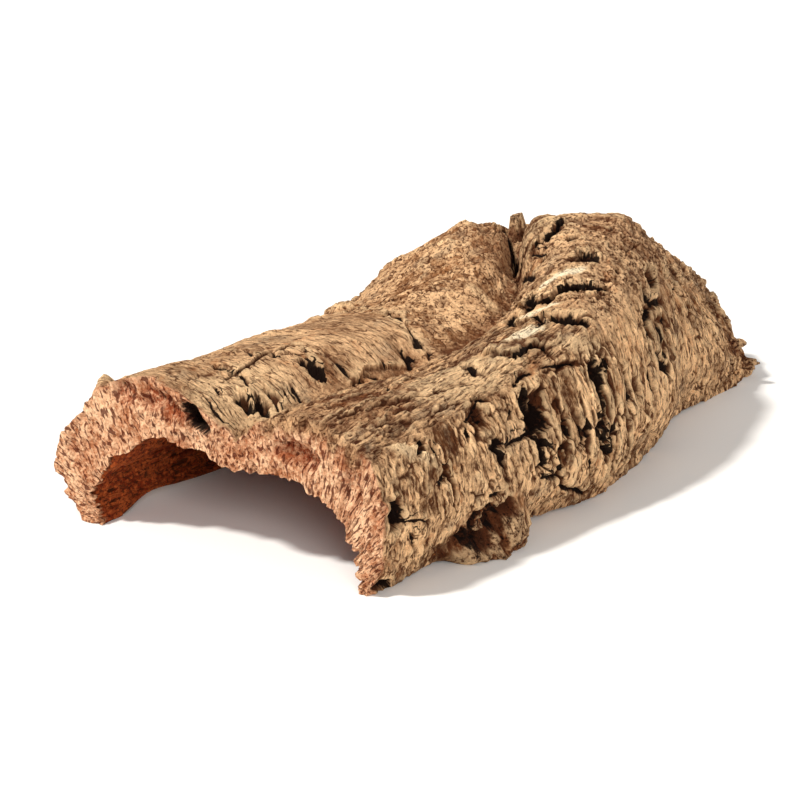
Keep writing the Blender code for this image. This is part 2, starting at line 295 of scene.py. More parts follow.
@dataclass(frozen=True)
class Cut:
    """A sharp slit or hole, finer than the solid can have, filled with painted black shadow: its width in mm,
    and its line.
    """

    width: float
    path: Path

    @property
    def depth(self) -> float:
        """How deep it is, in mm."""
        return min(3.5, 0.5 + 0.9 * self.width)

    @property
    def thin(self) -> bool:
        """Whether it is a line rather than a hole."""
        return self.width < 1.6


@dataclass(frozen=True)
class Lip:
    """The lifted edge of a plate: its height, its reach, and its line, with the plate to the line's left."""

    height: float
    reach: float
    path: Path


@dataclass(frozen=True)
class Hollow:
    """A hole, or a knob where the depth is below 0: its middle, its half sizes and its depth."""

    length: float
    girth: float
    half_length: float
    half_girth: float
    depth: float


@dataclass(frozen=True)
class Patch:
    """A patch of colour: its middle, its half sizes along and across, its turn in degrees, its strength."""

    length: float
    girth: float
    half_along: float
    half_across: float
    turn: float
    strength: float

    def share(self, s: Grid, t: Grid) -> Grid:
        """Works out how much of the patch each place gets.

        Args:
            s: length of each place.
            t: girth of each place.

        Returns:
            Shares from 0 to the patch's strength.
        """
        turn = math.radians(self.turn)
        ds, dt = s - self.length, t - self.girth
        along = (math.cos(turn) * ds + math.sin(turn) * dt) / self.half_along
        across = (math.cos(turn) * dt - math.sin(turn) * ds) / self.half_across
        return self.strength * smooth(1.15, 0.75, np.hypot(along, across))


@dataclass(frozen=True)
class FaceHollow:
    """A hole in the sawn face: its girth, its share of the wall from the inside, half sizes and depth."""

    girth: float
    share: float
    half_girth: float
    half_share: float
    depth: float


@dataclass(frozen=True)
class Form:
    """The bark's main form, as sections along its length, in mm.

    Each outer section runs from the left edge over the left belly, shoulder and crest, down to the valley,
    and over the right crest, shoulder and belly to the right edge. Each inner one runs from the left edge up
    over the crown to the right edge.
    """

    stations: tuple = (0, 40, 80, 105, 125, 145, 165, 190, 215, 245, 280, 312)
    outer_girth: tuple = (0, 25, 52, 83, 112, 126, 141, 155, 189, 211, 236)
    outer: tuple = (
        (
            (-8, 0), (-20, 19), (-7, 43), (22, 59), (50, 52), (62, 44),
            (74, 53), (87, 57), (118, 46), (124, 24), (118, 0),
        ),
        (
            (-7, 1), (-17, 18), (-5, 42), (22, 57), (50, 53), (63, 45),
            (76, 51), (91, 56), (121, 49), (129, 24), (121, 0),
        ),
        (
            (-6, 0), (-16, 19), (-6, 41), (22, 54), (56, 54), (70, 46),
            (81, 51), (95, 58), (126, 54), (138, 26), (128, 0),
        ),
        (
            (-5, 1), (-15, 20), (-6, 41), (23, 53), (59, 55), (75, 47),
            (86, 53), (98, 59), (129, 56), (141, 26), (133, 0),
        ),
        (
            (-5, 1), (-15, 20), (-6, 41), (25, 53), (61, 57), (80, 50),
            (89, 56), (101, 62), (131, 60), (143, 26), (137, 0),
        ),
        (
            (-6, 2), (-16, 20), (-5, 40), (31, 58), (64, 63), (80, 53),
            (88, 63), (101, 72), (131, 62), (142, 26), (135, 0),
        ),
        (
            (-6, 2), (-16, 20), (-5, 42), (36, 71), (64, 68), (75, 57),
            (84, 72), (98, 81), (128, 64), (140, 27), (133, 0),
        ),
        (
            (-7, 2), (-17, 21), (-7, 46), (38, 78), (55, 75), (62, 65),
            (69, 79), (93, 84), (123, 64), (135, 29), (129, 0),
        ),
        (
            (-7, 1), (-16, 20), (-7, 46), (31, 69), (45, 71), (53, 71),
            (64, 78), (91, 83), (118, 60), (126, 29), (122, 0),
        ),
        (
            (-5, 0), (-13, 19), (-3, 43), (30, 62), (44, 66), (56, 68),
            (70, 73), (89, 71), (111, 49), (123, 25), (121, 0),
        ),
        (
            (-2, 0), (-9, 17), (1, 38), (28, 55), (44, 59), (57, 60),
            (70, 58), (85, 53), (107, 37), (121, 18), (123, 0),
        ),
        (
            (1, 1), (-5, 15), (5, 33), (28, 49), (44, 52), (56, 51),
            (68, 47), (80, 41), (100, 26), (115, 10), (120, 0),
        ),
    )
    left_crest: int = 3
    right_crest: int = 7
    inner_girth: tuple = (0, 40, 75, 120, 165, 200, 236)
    inner: tuple = (
        ((1, 0), (0, 17), (24, 36), (60, 35), (97, 31), (110, 17), (113, 0)),
        ((2, 0), (1, 18), (24, 37), (62, 35), (98, 34), (112, 19), (114, 0)),
        ((3, 0), (1, 18), (25, 36), (66, 34), (102, 38), (118, 20), (119, 0)),
        ((4, 0), (2, 19), (26, 37), (70, 35), (105, 40), (121, 20), (122, 0)),
        ((4, 0), (2, 19), (27, 39), (74, 37), (107, 43), (123, 21), (124, 0)),
        ((4, 0), (2, 20), (29, 44), (74, 41), (106, 50), (122, 22), (122, 0)),
        ((4, 0), (2, 20), (30, 49), (71, 45), (104, 54), (120, 22), (119, 0)),
        ((4, 0), (1, 20), (31, 51), (66, 50), (101, 56), (115, 22), (116, 0)),
        ((4, 0), (1, 20), (30, 48), (64, 53), (98, 52), (109, 20), (110, 0)),
        ((5, 0), (3, 18), (29, 43), (62, 51), (92, 43), (106, 17), (109, 0)),
        ((8, 0), (7, 16), (28, 38), (60, 43), (86, 30), (103, 11), (110, 0)),
        ((10, 0), (10, 14), (29, 33), (57, 35), (80, 22), (99, 6), (108, 0)),
    )
    far_girth: tuple = (0, 30, 60, 85, 110, 125, 150, 175, 190, 203, 216, 236)
    far_end: tuple = (284, 291, 287, 299, 301, 293, 300, 306, 305, 298, 300, 311)
    edge_length: tuple = (0, 10, 26, 45, 66, 90, 120, 150, 180, 210, 235, 262, 285, 312)
    left_edge_lift: tuple = (0, 0, 4.5, 3, 1.5, 2, 4, 3, 4, 2, 0, 0, 3, 6)
    right_edge_lift: tuple = (0, 0, 0.8, 1, 0, 1.5, 0.6, 0, 1, 1.5, 1, 0, 0, 0)
    edge_reach: float = 14
    centre: tuple = (62.4, 154.7)

    @property
    def round_girth(self) -> float:
        """The whole girth, from edge to edge."""
        return self.outer_girth[-1]

    def loft(self, knots: tuple, sections: tuple, length: Grid, girth: Grid) -> Grid:
        """Reads the skin through a table of sections.

        Args:
            knots: the girth of each point of a section.
            sections: the (x, z) points of each section.
            length: length of each place.
            girth: girth of each place.

        Returns:
            The (x, y, z) points there.
        """
        along = spline(self.stations, np.eye(len(self.stations)), length)
        around = spline(knots, np.eye(len(knots)), girth)
        flat = np.einsum("...s,...g,sgk->...k", along, around, np.array(sections, float), optimize=True)
        return np.stack([flat[..., 0], length, flat[..., 1]], axis=-1)

    def without_valley(self) -> Grid:
        """The outer sections with a straight top from crest to crest, so that the relief stands evenly."""
        table = np.array(self.outer, float)
        first, last = self.left_crest, self.right_crest
        reach = self.outer_girth[last] - self.outer_girth[first]
        for k in range(first + 1, last):
            f = (self.outer_girth[k] - self.outer_girth[first]) / reach
            table[:, k] = (1 - f) * table[:, first] + f * table[:, last]
        return table

    def edge_lift(self, length: Grid, girth: Grid) -> Grid:
        """How far the two long edges are worn up off the ground at each place."""
        left = spline(self.edge_length, self.left_edge_lift, length)
        right = spline(self.edge_length, self.right_edge_lift, length)
        near_left = smooth(self.edge_reach, 0, girth)
        near_right = smooth(self.edge_reach, 0, self.round_girth - girth)
        return left * near_left + right * near_right


# Open cracks.
CRACKS = (
    Crack(3.0, 3.5, ((24, 103), (37, 102), (54, 100), (61, 102), (64, 105), (64, 109))),
    Crack(2.2, 2.5, ((27, 101), (30, 105), (29, 111))),
    Crack(2.2, 2.5, ((70, 108), (69, 118), (69, 125))),
    Crack(2.8, 3.0, ((2, 62), (24, 66), (52, 64), (80, 70), (112, 73))),
    Crack(3.2, 4.5, ((127, 88), (119, 99), (113, 107), (110, 115), (106, 124))),
    Crack(3.6, 3.5, ((178, 129), (186, 123), (196, 119), (205, 113), (216, 108))),
    Crack(3.5, 4.0, ((148, 127), (158, 126))),
    Crack(5.5, 8.0, ((116, 133), (128, 131), (142, 128))),
    Crack(2.2, 2.0, ((88, 172), (91, 178), (101, 179), (105, 183), (104, 188))),
    Crack(2.4, 2.4, ((135, 151), (134, 158), (138, 167), (144, 173), (152, 181))),
    Crack(2.4, 2.4, ((119, 172), (124, 179), (132, 184))),
    Crack(3.0, 4.0, ((158, 163), (164, 172))),
    Crack(2.4, 2.0, ((182, 138), (181, 145), (187, 151))),
    Crack(5.0, 8.5, ((122, 191), (120, 198), (118, 203), (116, 208), (115, 213), (120, 219))),
    Crack(3.4, 5.5, ((82, 190), (81, 198))),
    Crack(3.4, 4.6, ((90, 193), (85, 200))),
    Crack(4.4, 7.0, ((80, 204), (81, 208), (83, 213))),
    Crack(4.0, 6.0, ((89, 209), (91, 216), (95, 223))),
    Crack(3.2, 5.0, ((98, 200), (96, 206), (94, 213))),
    Crack(3.4, 5.5, ((108, 199), (106, 207), (104, 216))),
    Crack(2.8, 4.0, ((112, 203), (111, 212))),
    Crack(3.4, 5.0, ((132, 204), (134, 212), (138, 224))),
    Crack(2.6, 3.5, ((126, 190), (128, 197), (127, 205))),
    Crack(2.6, 3.0, ((95, 189), (105, 190), (115, 193))),
    Crack(3.6, 5.0, ((26, 188), (27, 196))),
    Crack(4.0, 5.5, ((33, 198), (36, 206), (35, 211))),
    Crack(3.0, 3.5, ((57, 201), (60, 206), (62, 211))),
    Crack(3.0, 3.5, ((60, 186), (57, 193), (51, 197))),
    Crack(4.4, 6.5, ((181, 189), (173, 193), (168, 199))),
    Crack(3.4, 5.0, ((187, 199), (183, 208))),
    Crack(3.0, 4.5, ((210, 192), (206, 203), (209, 216))),
    Crack(3.0, 4.5, ((236, 190), (231, 204), (235, 219))),
    Crack(3.0, 4.0, ((262, 186), (257, 200), (262, 214))),
    Crack(3.0, 4.0, ((152, 205), (156, 216), (153, 226))),
    Crack(3.0, 4.0, ((20, 150), (48, 156), (78, 163))),
    Crack(2.6, 3.0, ((8, 168), (36, 171), (66, 180))),
    Crack(3.2, 4.5, ((214, 160), (232, 150), (252, 152), (270, 143))),
    Crack(3.2, 4.5, ((150, 30), (160, 44), (156, 60))),
    Crack(3.4, 5.0, ((66, 18), (74, 32), (70, 47))),
    Crack(3.0, 4.0, ((205, 20), (198, 36), (204, 54), (197, 70))),
    Crack(3.0, 4.0, ((238, 60), (262, 66), (285, 62))),
)

NOTCH_KNOB = Hollow(214, 118, 6.5, 6.5, -8.5)

# Holes, dents and knobs.
HOLLOWS = (
    Hollow(20.5, 114, 2.4, 3.0, 5.0),
    Hollow(26, 119, 3.4, 2.6, 6.0),
    Hollow(56, 115, 3.0, 4.0, 3.5),
    Hollow(86, 128, 10, 4.0, 2.5),
    Hollow(117, 89, 2.6, 2.6, 4.0),
    Hollow(124, 93, 2.8, 2.4, 4.0),
    Hollow(186, 129, 4.5, 4.0, 4.0),
    Hollow(73, 174, 2.6, 4.2, 5.0),
    Hollow(175, 155, 3.2, 3.0, 4.0),
    Hollow(81, 200, 4.8, 4.2, 9.0),
    Hollow(7, 207, 3.0, 5.5, 6.0),
    Hollow(56, 192, 4.5, 4.0, 3.0),
    Hollow(193, 187, 3.8, 3.4, 6.0),
    Hollow(219, 188, 4.4, 3.4, 6.0),
    Hollow(187, 194, 3.6, 3.4, 5.0),
    Hollow(147, 205, 3.0, 3.0, 3.5),
    Hollow(50, 226, 5.0, 2.8, 4.5),
    Hollow(61, 219, 4.0, 3.0, 4.5),
    Hollow(5, 233, 5.5, 3.0, 3.5),
    Hollow(4, 64, 4.0, 4.2, -4.2),
    Hollow(49, 234, 11, 11, -12.0),
    Hollow(65, 233, 11, 13, -12.0),
    Hollow(279, 211, 3.4, 3.0, -6.5),
    Hollow(298, 224, 3.4, 3.6, -5.0),
    Hollow(125, 80, 4.0, 4.0, -2.5),
    Hollow(224, 86, 16, 14, -1.2),
    Hollow(205, 150, 7.0, 7.0, 1.8),
    Hollow(192, 95, 9.0, 9.0, 2.9),
    Hollow(6, 71, 4.0, 4.0, 3.0),
    Hollow(2, 49, 10, 9, 2.6),
    NOTCH_KNOB,
    Hollow(106, 81, 3.0, 3.0, -1.0),
    Hollow(131, 74, 5.0, 4.5, -3.4),
    Hollow(184, 62, 4.0, 4.0, -2.2),
    Hollow(183, 86, 5.0, 5.0, -2.0),
    Hollow(197, 144, 5.0, 4.5, -2.0),
    Hollow(210, 161, 8.0, 6.0, -2.0),
    Hollow(268, 173, 4.0, 4.0, -2.2),
    Hollow(286, 196, 8.0, 8.0, -2.6),
    Hollow(290, 179, 4.0, 4.0, -2.2),
    Hollow(297, 187, 4.0, 4.0, -2.2),
    Hollow(46, 87, 3.0, 3.0, -1.2),
    Hollow(80, 79, 3.5, 3.0, -1.2),
    Hollow(124, 177, 2.6, 5.0, 2.4),
    Hollow(205, 102, 9.0, 8.0, 2.6),
    Hollow(214, 103, 7.0, 6.0, 2.9),
    Hollow(169, 124, 8.0, 6.0, -2.5),
    Hollow(155, 226, 14, 9, 2.6),
    Hollow(197, 186, 3.4, 3.0, 4.5),
    Hollow(238, 182, 3.4, 2.6, 4.5),
    Hollow(162, 166, 2.2, 3.4, 3.5),
    Hollow(178, 154, 1.6, 1.8, 3.2),
    Hollow(74, 171, 1.8, 3.0, 3.5),
    Hollow(33, 117, 1.8, 2.8, 3.2),
    Hollow(9, 207, 2.6, 5.0, 4.0),
    Hollow(140, 202, 2.2, 3.0, 3.2),
    Hollow(86, 197, 4.2, 4.0, 5.0),
)

# Sharp slits and small holes, place by place, each filled with painted black shadow.
CUTS = (
    # Short cross cracks in the plate by the sawn end, and its two holes.
    Cut(0.6, ((8.3, 105.5), (4.3, 114.5), (5.2, 123))),
    Cut(0.6, ((15.6, 104.5), (13.6, 109))),
    Cut(1.4, ((29.2, 101.5), (31.7, 104.5), (27.2, 110.5))),
    Cut(0.7, ((23.7, 112), (23.1, 116), (26.4, 116.5))),
    Cut(1.0, ((32.8, 114), (32.5, 119), (28.4, 124.5))),
    Cut(0.7, ((39.8, 116.5), (36.9, 123))),
    Cut(0.8, ((44.1, 116.5), (40.2, 125))),
    Cut(2.1, ((28.7, 95.5), (31.2, 98))),
    Cut(4.3, ((17.8, 115.5), (19.1, 118.5))),
    Cut(3.7, ((25.9, 116.5), (21.8, 123.5))),
    # The broken edge between the two plates.
    Cut(0.7, ((50.5, 92), (44.3, 98))),
    Cut(0.7, ((55, 98.5), (50.2, 104))),
    Cut(0.8, ((52.1, 102), (58, 105.5), (58.3, 108.5))),
    Cut(0.6, ((58.3, 109.5), (59.6, 115.5), (58.8, 118.5))),
    Cut(1.8, ((55.8, 111), (57.9, 114), (57.9, 118))),
    Cut(2.0, ((57.6, 116), (57.8, 118.5))),
    # The second plate's lower edge, and the step at its far end.
    Cut(1.3, ((69.7, 112), (68.7, 116), (68, 120.5))),
    Cut(1.1, ((70.2, 122.5), (72.9, 123))),
    Cut(1.1, ((76.5, 121), (77.3, 122.5), (80, 123.5))),
    Cut(0.6, ((87.3, 119), (85.9, 121.5))),
    Cut(0.8, ((98.2, 117.5), (98.3, 119), (100.4, 123))),
    Cut(1.6, ((98.6, 120), (95, 124.5))),
    Cut(1.6, ((112.1, 103), (117.4, 105), (113.6, 110), (105.8, 119.5), (108.7, 121.5))),
    # The gully between the lobes.
    Cut(3.4, ((131, 147), (125, 152), (119, 156))),
    Cut(4.1, ((131.3, 155.5), (136.4, 153.5))),
    Cut(4.6, ((189.8, 127), (186.5, 128.5))),
    Cut(3.0, ((221, 98), (212, 107), (203, 115), (192, 123))),
    # Under the flakes of the hump, from the near one to the far one.
    Cut(0.8, ((43, 159.5), (46.8, 158.5))),
    Cut(2.3, ((74.9, 169.5), (75, 172))),
    Cut(1.2, ((86.8, 172), (89, 179.5), (97.7, 177), (102.7, 177.5), (105.2, 181), (104.6, 186))),
    Cut(0.6, ((112.9, 171.5), (117.4, 172.5))),
    Cut(1.3, ((126.5, 159.5), (117.4, 172))),
    Cut(2.4, ((122.5, 173.5), (125.9, 179), (127.4, 184))),
    Cut(1.2, ((136.5, 152), (134, 158), (134, 164), (141, 167))),
    Cut(1.8, ((140, 166.5), (144, 170), (147, 173))),
    Cut(1.3, ((146, 172.5), (151, 177), (156, 180.5))),
    Cut(4.6, ((162, 165), (163.9, 168.5))),
    Cut(1.1, ((166.4, 178.5), (167.4, 179))),
    Cut(1.6, ((168.3, 134.5), (154.4, 145))),
    Cut(1.4, ((166.3, 144.5), (164.2, 148))),
    Cut(1.0, ((173.3, 140), (167.9, 147))),
    Cut(1.0, ((178.1, 153), (177.8, 154.5))),
    Cut(1.3, ((175.2, 141.5), (175.9, 146.5), (183.9, 149), (195.2, 148.5))),
    # The flank by the sawn end.
    Cut(2.3, ((4, 233.5), (9.5, 234.5))),
    Cut(2.1, ((9.1, 203.5), (9.6, 207), (9.1, 210))),
    Cut(0.6, ((9.6, 210), (16.4, 212), (23.6, 213.5))),
    Cut(1.0, ((15, 216.5), (17.6, 222))),
    Cut(1.8, ((28, 190.5), (23.5, 193))),
    Cut(0.6, ((31.4, 192), (32.6, 196.5), (35.2, 200.5))),
    Cut(1.1, ((35.2, 200.5), (31.3, 202), (32.7, 203.5))),
    Cut(1.3, ((49, 193), (48.2, 196))),
    Cut(0.6, ((48.6, 192), (59, 190), (60.2, 186.5))),
    Cut(0.8, ((56.7, 194), (59.2, 193.5))),
    Cut(1.2, ((60.7, 187), (64.5, 189))),
    Cut(2.1, ((58.3, 200.5), (61.2, 200.5))),
    Cut(0.8, ((55, 200.5), (59.6, 203), (61, 205.5))),
    Cut(2.2, ((61, 205), (60.5, 207.5))),
    Cut(1.4, ((52.6, 213.5), (57.5, 214.5))),
    # Round the foot.
    Cut(4.6, ((42.7, 225), (46.7, 226))),
    Cut(3.4, ((52.7, 221.5), (54.8, 223))),
    Cut(1.7, ((45.4, 222), (46.6, 218.5), (52.3, 217), (58, 221))),
    # The flank's big hole, and the cracks that run from it.
    Cut(2.7, ((82.4, 192), (78, 195), (83.7, 198.5))),
    Cut(1.8, ((84.1, 194), (87.4, 197), (86.4, 199.5))),
    Cut(3.4, ((87.2, 198), (86.2, 201))),
    Cut(4.6, ((85, 199.5), (84.8, 200.5))),
    Cut(0.8, ((70.1, 196), (72.7, 195))),
    Cut(0.6, ((79.8, 188.5), (77.7, 190))),
    Cut(1.0, ((81.3, 188.5), (85.8, 187.5), (90.2, 188))),
    Cut(0.9, ((96.1, 188), (105.8, 190), (113.2, 192.5))),
    Cut(0.8, ((73.6, 202), (83.2, 202))),
    Cut(0.6, ((61.1, 202), (70.7, 202), (82.7, 202.5), (81.7, 204.5), (87.5, 208), (88.1, 211))),
    Cut(3.0, ((81.2, 204.5), (81.7, 207), (81.9, 211))),
    Cut(2.2, ((91, 211), (91.7, 214), (88.2, 217))),
    Cut(1.2, ((80.3, 216), (88.2, 217.5))),
    # The upright slots of the flank.
    Cut(1.3, ((98.2, 201.5), (94.1, 205), (90.9, 209))),
    Cut(1.0, ((97.5, 204.5), (97, 206.5))),
    Cut(1.2, ((103.6, 201), (104.6, 206), (103.2, 212))),
    Cut(1.0, ((108.6, 204.5), (107.6, 207.5))),
    Cut(1.0, ((106.8, 214.5), (108.4, 222.5))),
    Cut(1.6, ((97, 224), (114, 232))),
    Cut(1.3, ((114.3, 204), (114.0, 209), (115.2, 215))),
    Cut(3.2, ((121.4, 197), (119.8, 202), (119.1, 206))),
    Cut(1.4, ((119.1, 205), (118.4, 212), (121.5, 219))),
    Cut(2.2, ((122, 194.5), (118.1, 196.5))),
    Cut(1.6, ((117.7, 196), (121.9, 195))),
    Cut(0.8, ((129.1, 195.5), (122.5, 196.5))),
    Cut(0.7, ((128.1, 197), (129.4, 196))),
    Cut(0.8, ((123.5, 207.5), (123, 213))),
    Cut(0.7, ((121.1, 208.5), (122.2, 218))),
    # The far part of the flank.
    Cut(3.2, ((140, 202), (139.3, 204))),
    Cut(1.7, ((142.4, 195), (143.2, 197))),
    Cut(1.7, ((160.5, 204), (160, 207))),
    Cut(2.3, ((166.6, 199.5), (165.8, 200.5))),
    Cut(3.2, ((173, 203), (181.1, 207))),
    Cut(4.6, ((180.1, 189.5), (176.4, 192.5))),
    Cut(2.3, ((176.4, 192.5), (168.2, 195), (171.5, 196.5))),
    Cut(1.3, ((180.4, 192.5), (198.1, 193.5))),
    Cut(4.6, ((182.1, 198), (181.5, 201.5))),
    Cut(1.9, ((192.7, 197), (191.6, 198.5))),
    Cut(4.5, ((196.4, 185), (197.4, 186))),
    Cut(0.8, ((225.5, 191), (239.2, 187))),
    Cut(4.6, ((238, 182), (237.5, 184.5))),
    Cut(1.0, ((242.8, 195), (243, 196.5))),
    Cut(1.7, ((268.8, 191), (268.3, 193))),
)

# Where the top layer has flaked off and the cork is pale.
PALE_PATCHES = (
    Patch(148, 162, 12, 3.6, 40, 1.0),
    Patch(128, 161, 11, 2.6, 77, 0.9),
    Patch(106, 172, 11, 3.6, 5, 0.9),
    Patch(21, 192, 11, 2.8, 28, 0.6),
    Patch(52, 167, 22, 5, -3, 0.4),
    Patch(66, 174, 30, 13, 10, 0.5),
    Patch(152, 118, 10, 2.6, 75, 0.5),
    Patch(112, 112, 9, 2.0, 100, 0.5),
    Patch(186, 142, 9, 3.0, 50, 0.5),
    Patch(119, 188, 13, 3.6, 28, 0.5),
    Patch(22, 112, 26, 16, 0, 0.4),
)

# Where the bark is dark and rough.
STAINS = (
    Patch(54, 226, 17, 11, 0, 1.0),
    Patch(24, 160, 28, 18, 0, 0.55),
    Patch(205, 116, 16, 9, 0, 0.8),
    Patch(208, 166, 26, 18, 0, 0.35),
    Patch(70, 232, 12, 8, 0, 0.8),
    Patch(192, 108, 26, 22, 0, 0.45),
    Patch(160, 128, 50, 6, 0, 0.7),
    Patch(280, 211, 10, 8, 0, 0.9),
    Patch(298, 224, 12, 9, 0, 0.9),
    Patch(88, 200, 14, 8, 0, 0.35),
    Patch(196, 191, 22, 9, 0, 0.45),
    Patch(90, 122, 14, 4, 0, 0.5),
    Patch(58, 116, 9, 7, 0, 0.5),
    Patch(4, 230, 12, 8, 0, 0.4),
)

FOOT = Patch(58, 228, 24, 16, 0, 1.0)

# The lifted edges of plates and flakes.
LIPS = (
    Lip(2.6, 26, ((128, 62), (127, 88), (119, 99), (113, 107), (109, 116), (106, 125))),
    Lip(2.4, 12, ((66, 98), (64, 106), (61, 114), (59, 122))),
    Lip(2.2, 10, ((100, 124), (88, 122), (80, 120), (72, 121), (66, 124))),
    Lip(1.0, 14, ((6, 122), (30, 121), (46, 119))),
    Lip(3.0, 12, ((156, 180), (146, 173), (141, 167), (134, 163), (135, 152), (137, 146))),
    Lip(2.6, 10, ((130, 186), (125, 179), (122, 172), (119, 160), (121, 152))),
    Lip(1.8, 9, ((164, 173), (157, 160))),
    Lip(2.6, 9, ((196, 149), (187, 149), (177, 147), (174, 139))),
    Lip(2.2, 10, ((10, 186), (20, 190), (30, 196), (32, 203))),
    Lip(2.4, 11, ((105, 187), (105, 181), (101, 177), (91, 180), (89, 171), (84, 166))),
    Lip(2.2, 14, ((206, 118), (202, 140), (210, 166))),
    Lip(2.2, 16, ((236, 80), (240, 110), (233, 140), (242, 170))),
    Lip(2.2, 14, ((175, 66), (168, 84), (172, 104))),
    Lip(2.0, 14, ((60, 10), (52, 26), (58, 48))),
    Lip(2.0, 16, ((130, 6), (122, 26), (128, 50))),
    Lip(2.0, 16, ((226, 10), (216, 30), (222, 56))),
)

# Holes in the sawn face.
FACE_HOLLOWS = (
    FaceHollow(105.5, 0.68, 6.5, 0.26, 13),
    FaceHollow(91, 0.62, 12, 0.26, 3.5),
    FaceHollow(154, 0.46, 12, 0.20, 4),
    FaceHollow(186, 0.45, 8, 0.20, 2),
    FaceHollow(74, 0.80, 5, 0.20, 3),
    FaceHollow(40, 0.70, 4, 0.16, 2),
)


def surfaces(s: Grid, t: Grid) -> dict[Surface, Grid]:
    """Works out how much each place belongs to each kind of surface.

    Args:
        s: length of each place.
        t: girth of each place.

    Returns:
        A share from 0 to 1 for each kind.
    """
    middle = smooth(122, 130, t) * smooth(192, 184, t)
    top_left = smooth(56, 66, t) * smooth(126, 118, t)
    return {
        Surface.PLATES: smooth(58, 66, t) * smooth(126, 118, t) * smooth(118, 106, s),
        Surface.LUMPS: top_left * smooth(106, 118, s) * smooth(250, 215, s),
        Surface.HUMP: middle * smooth(122, 138, s),
        Surface.FIBRES: middle * smooth(138, 122, s),
        Surface.FLANK: smooth(184, 194, t),
        Surface.BACK: smooth(66, 56, t),
    }


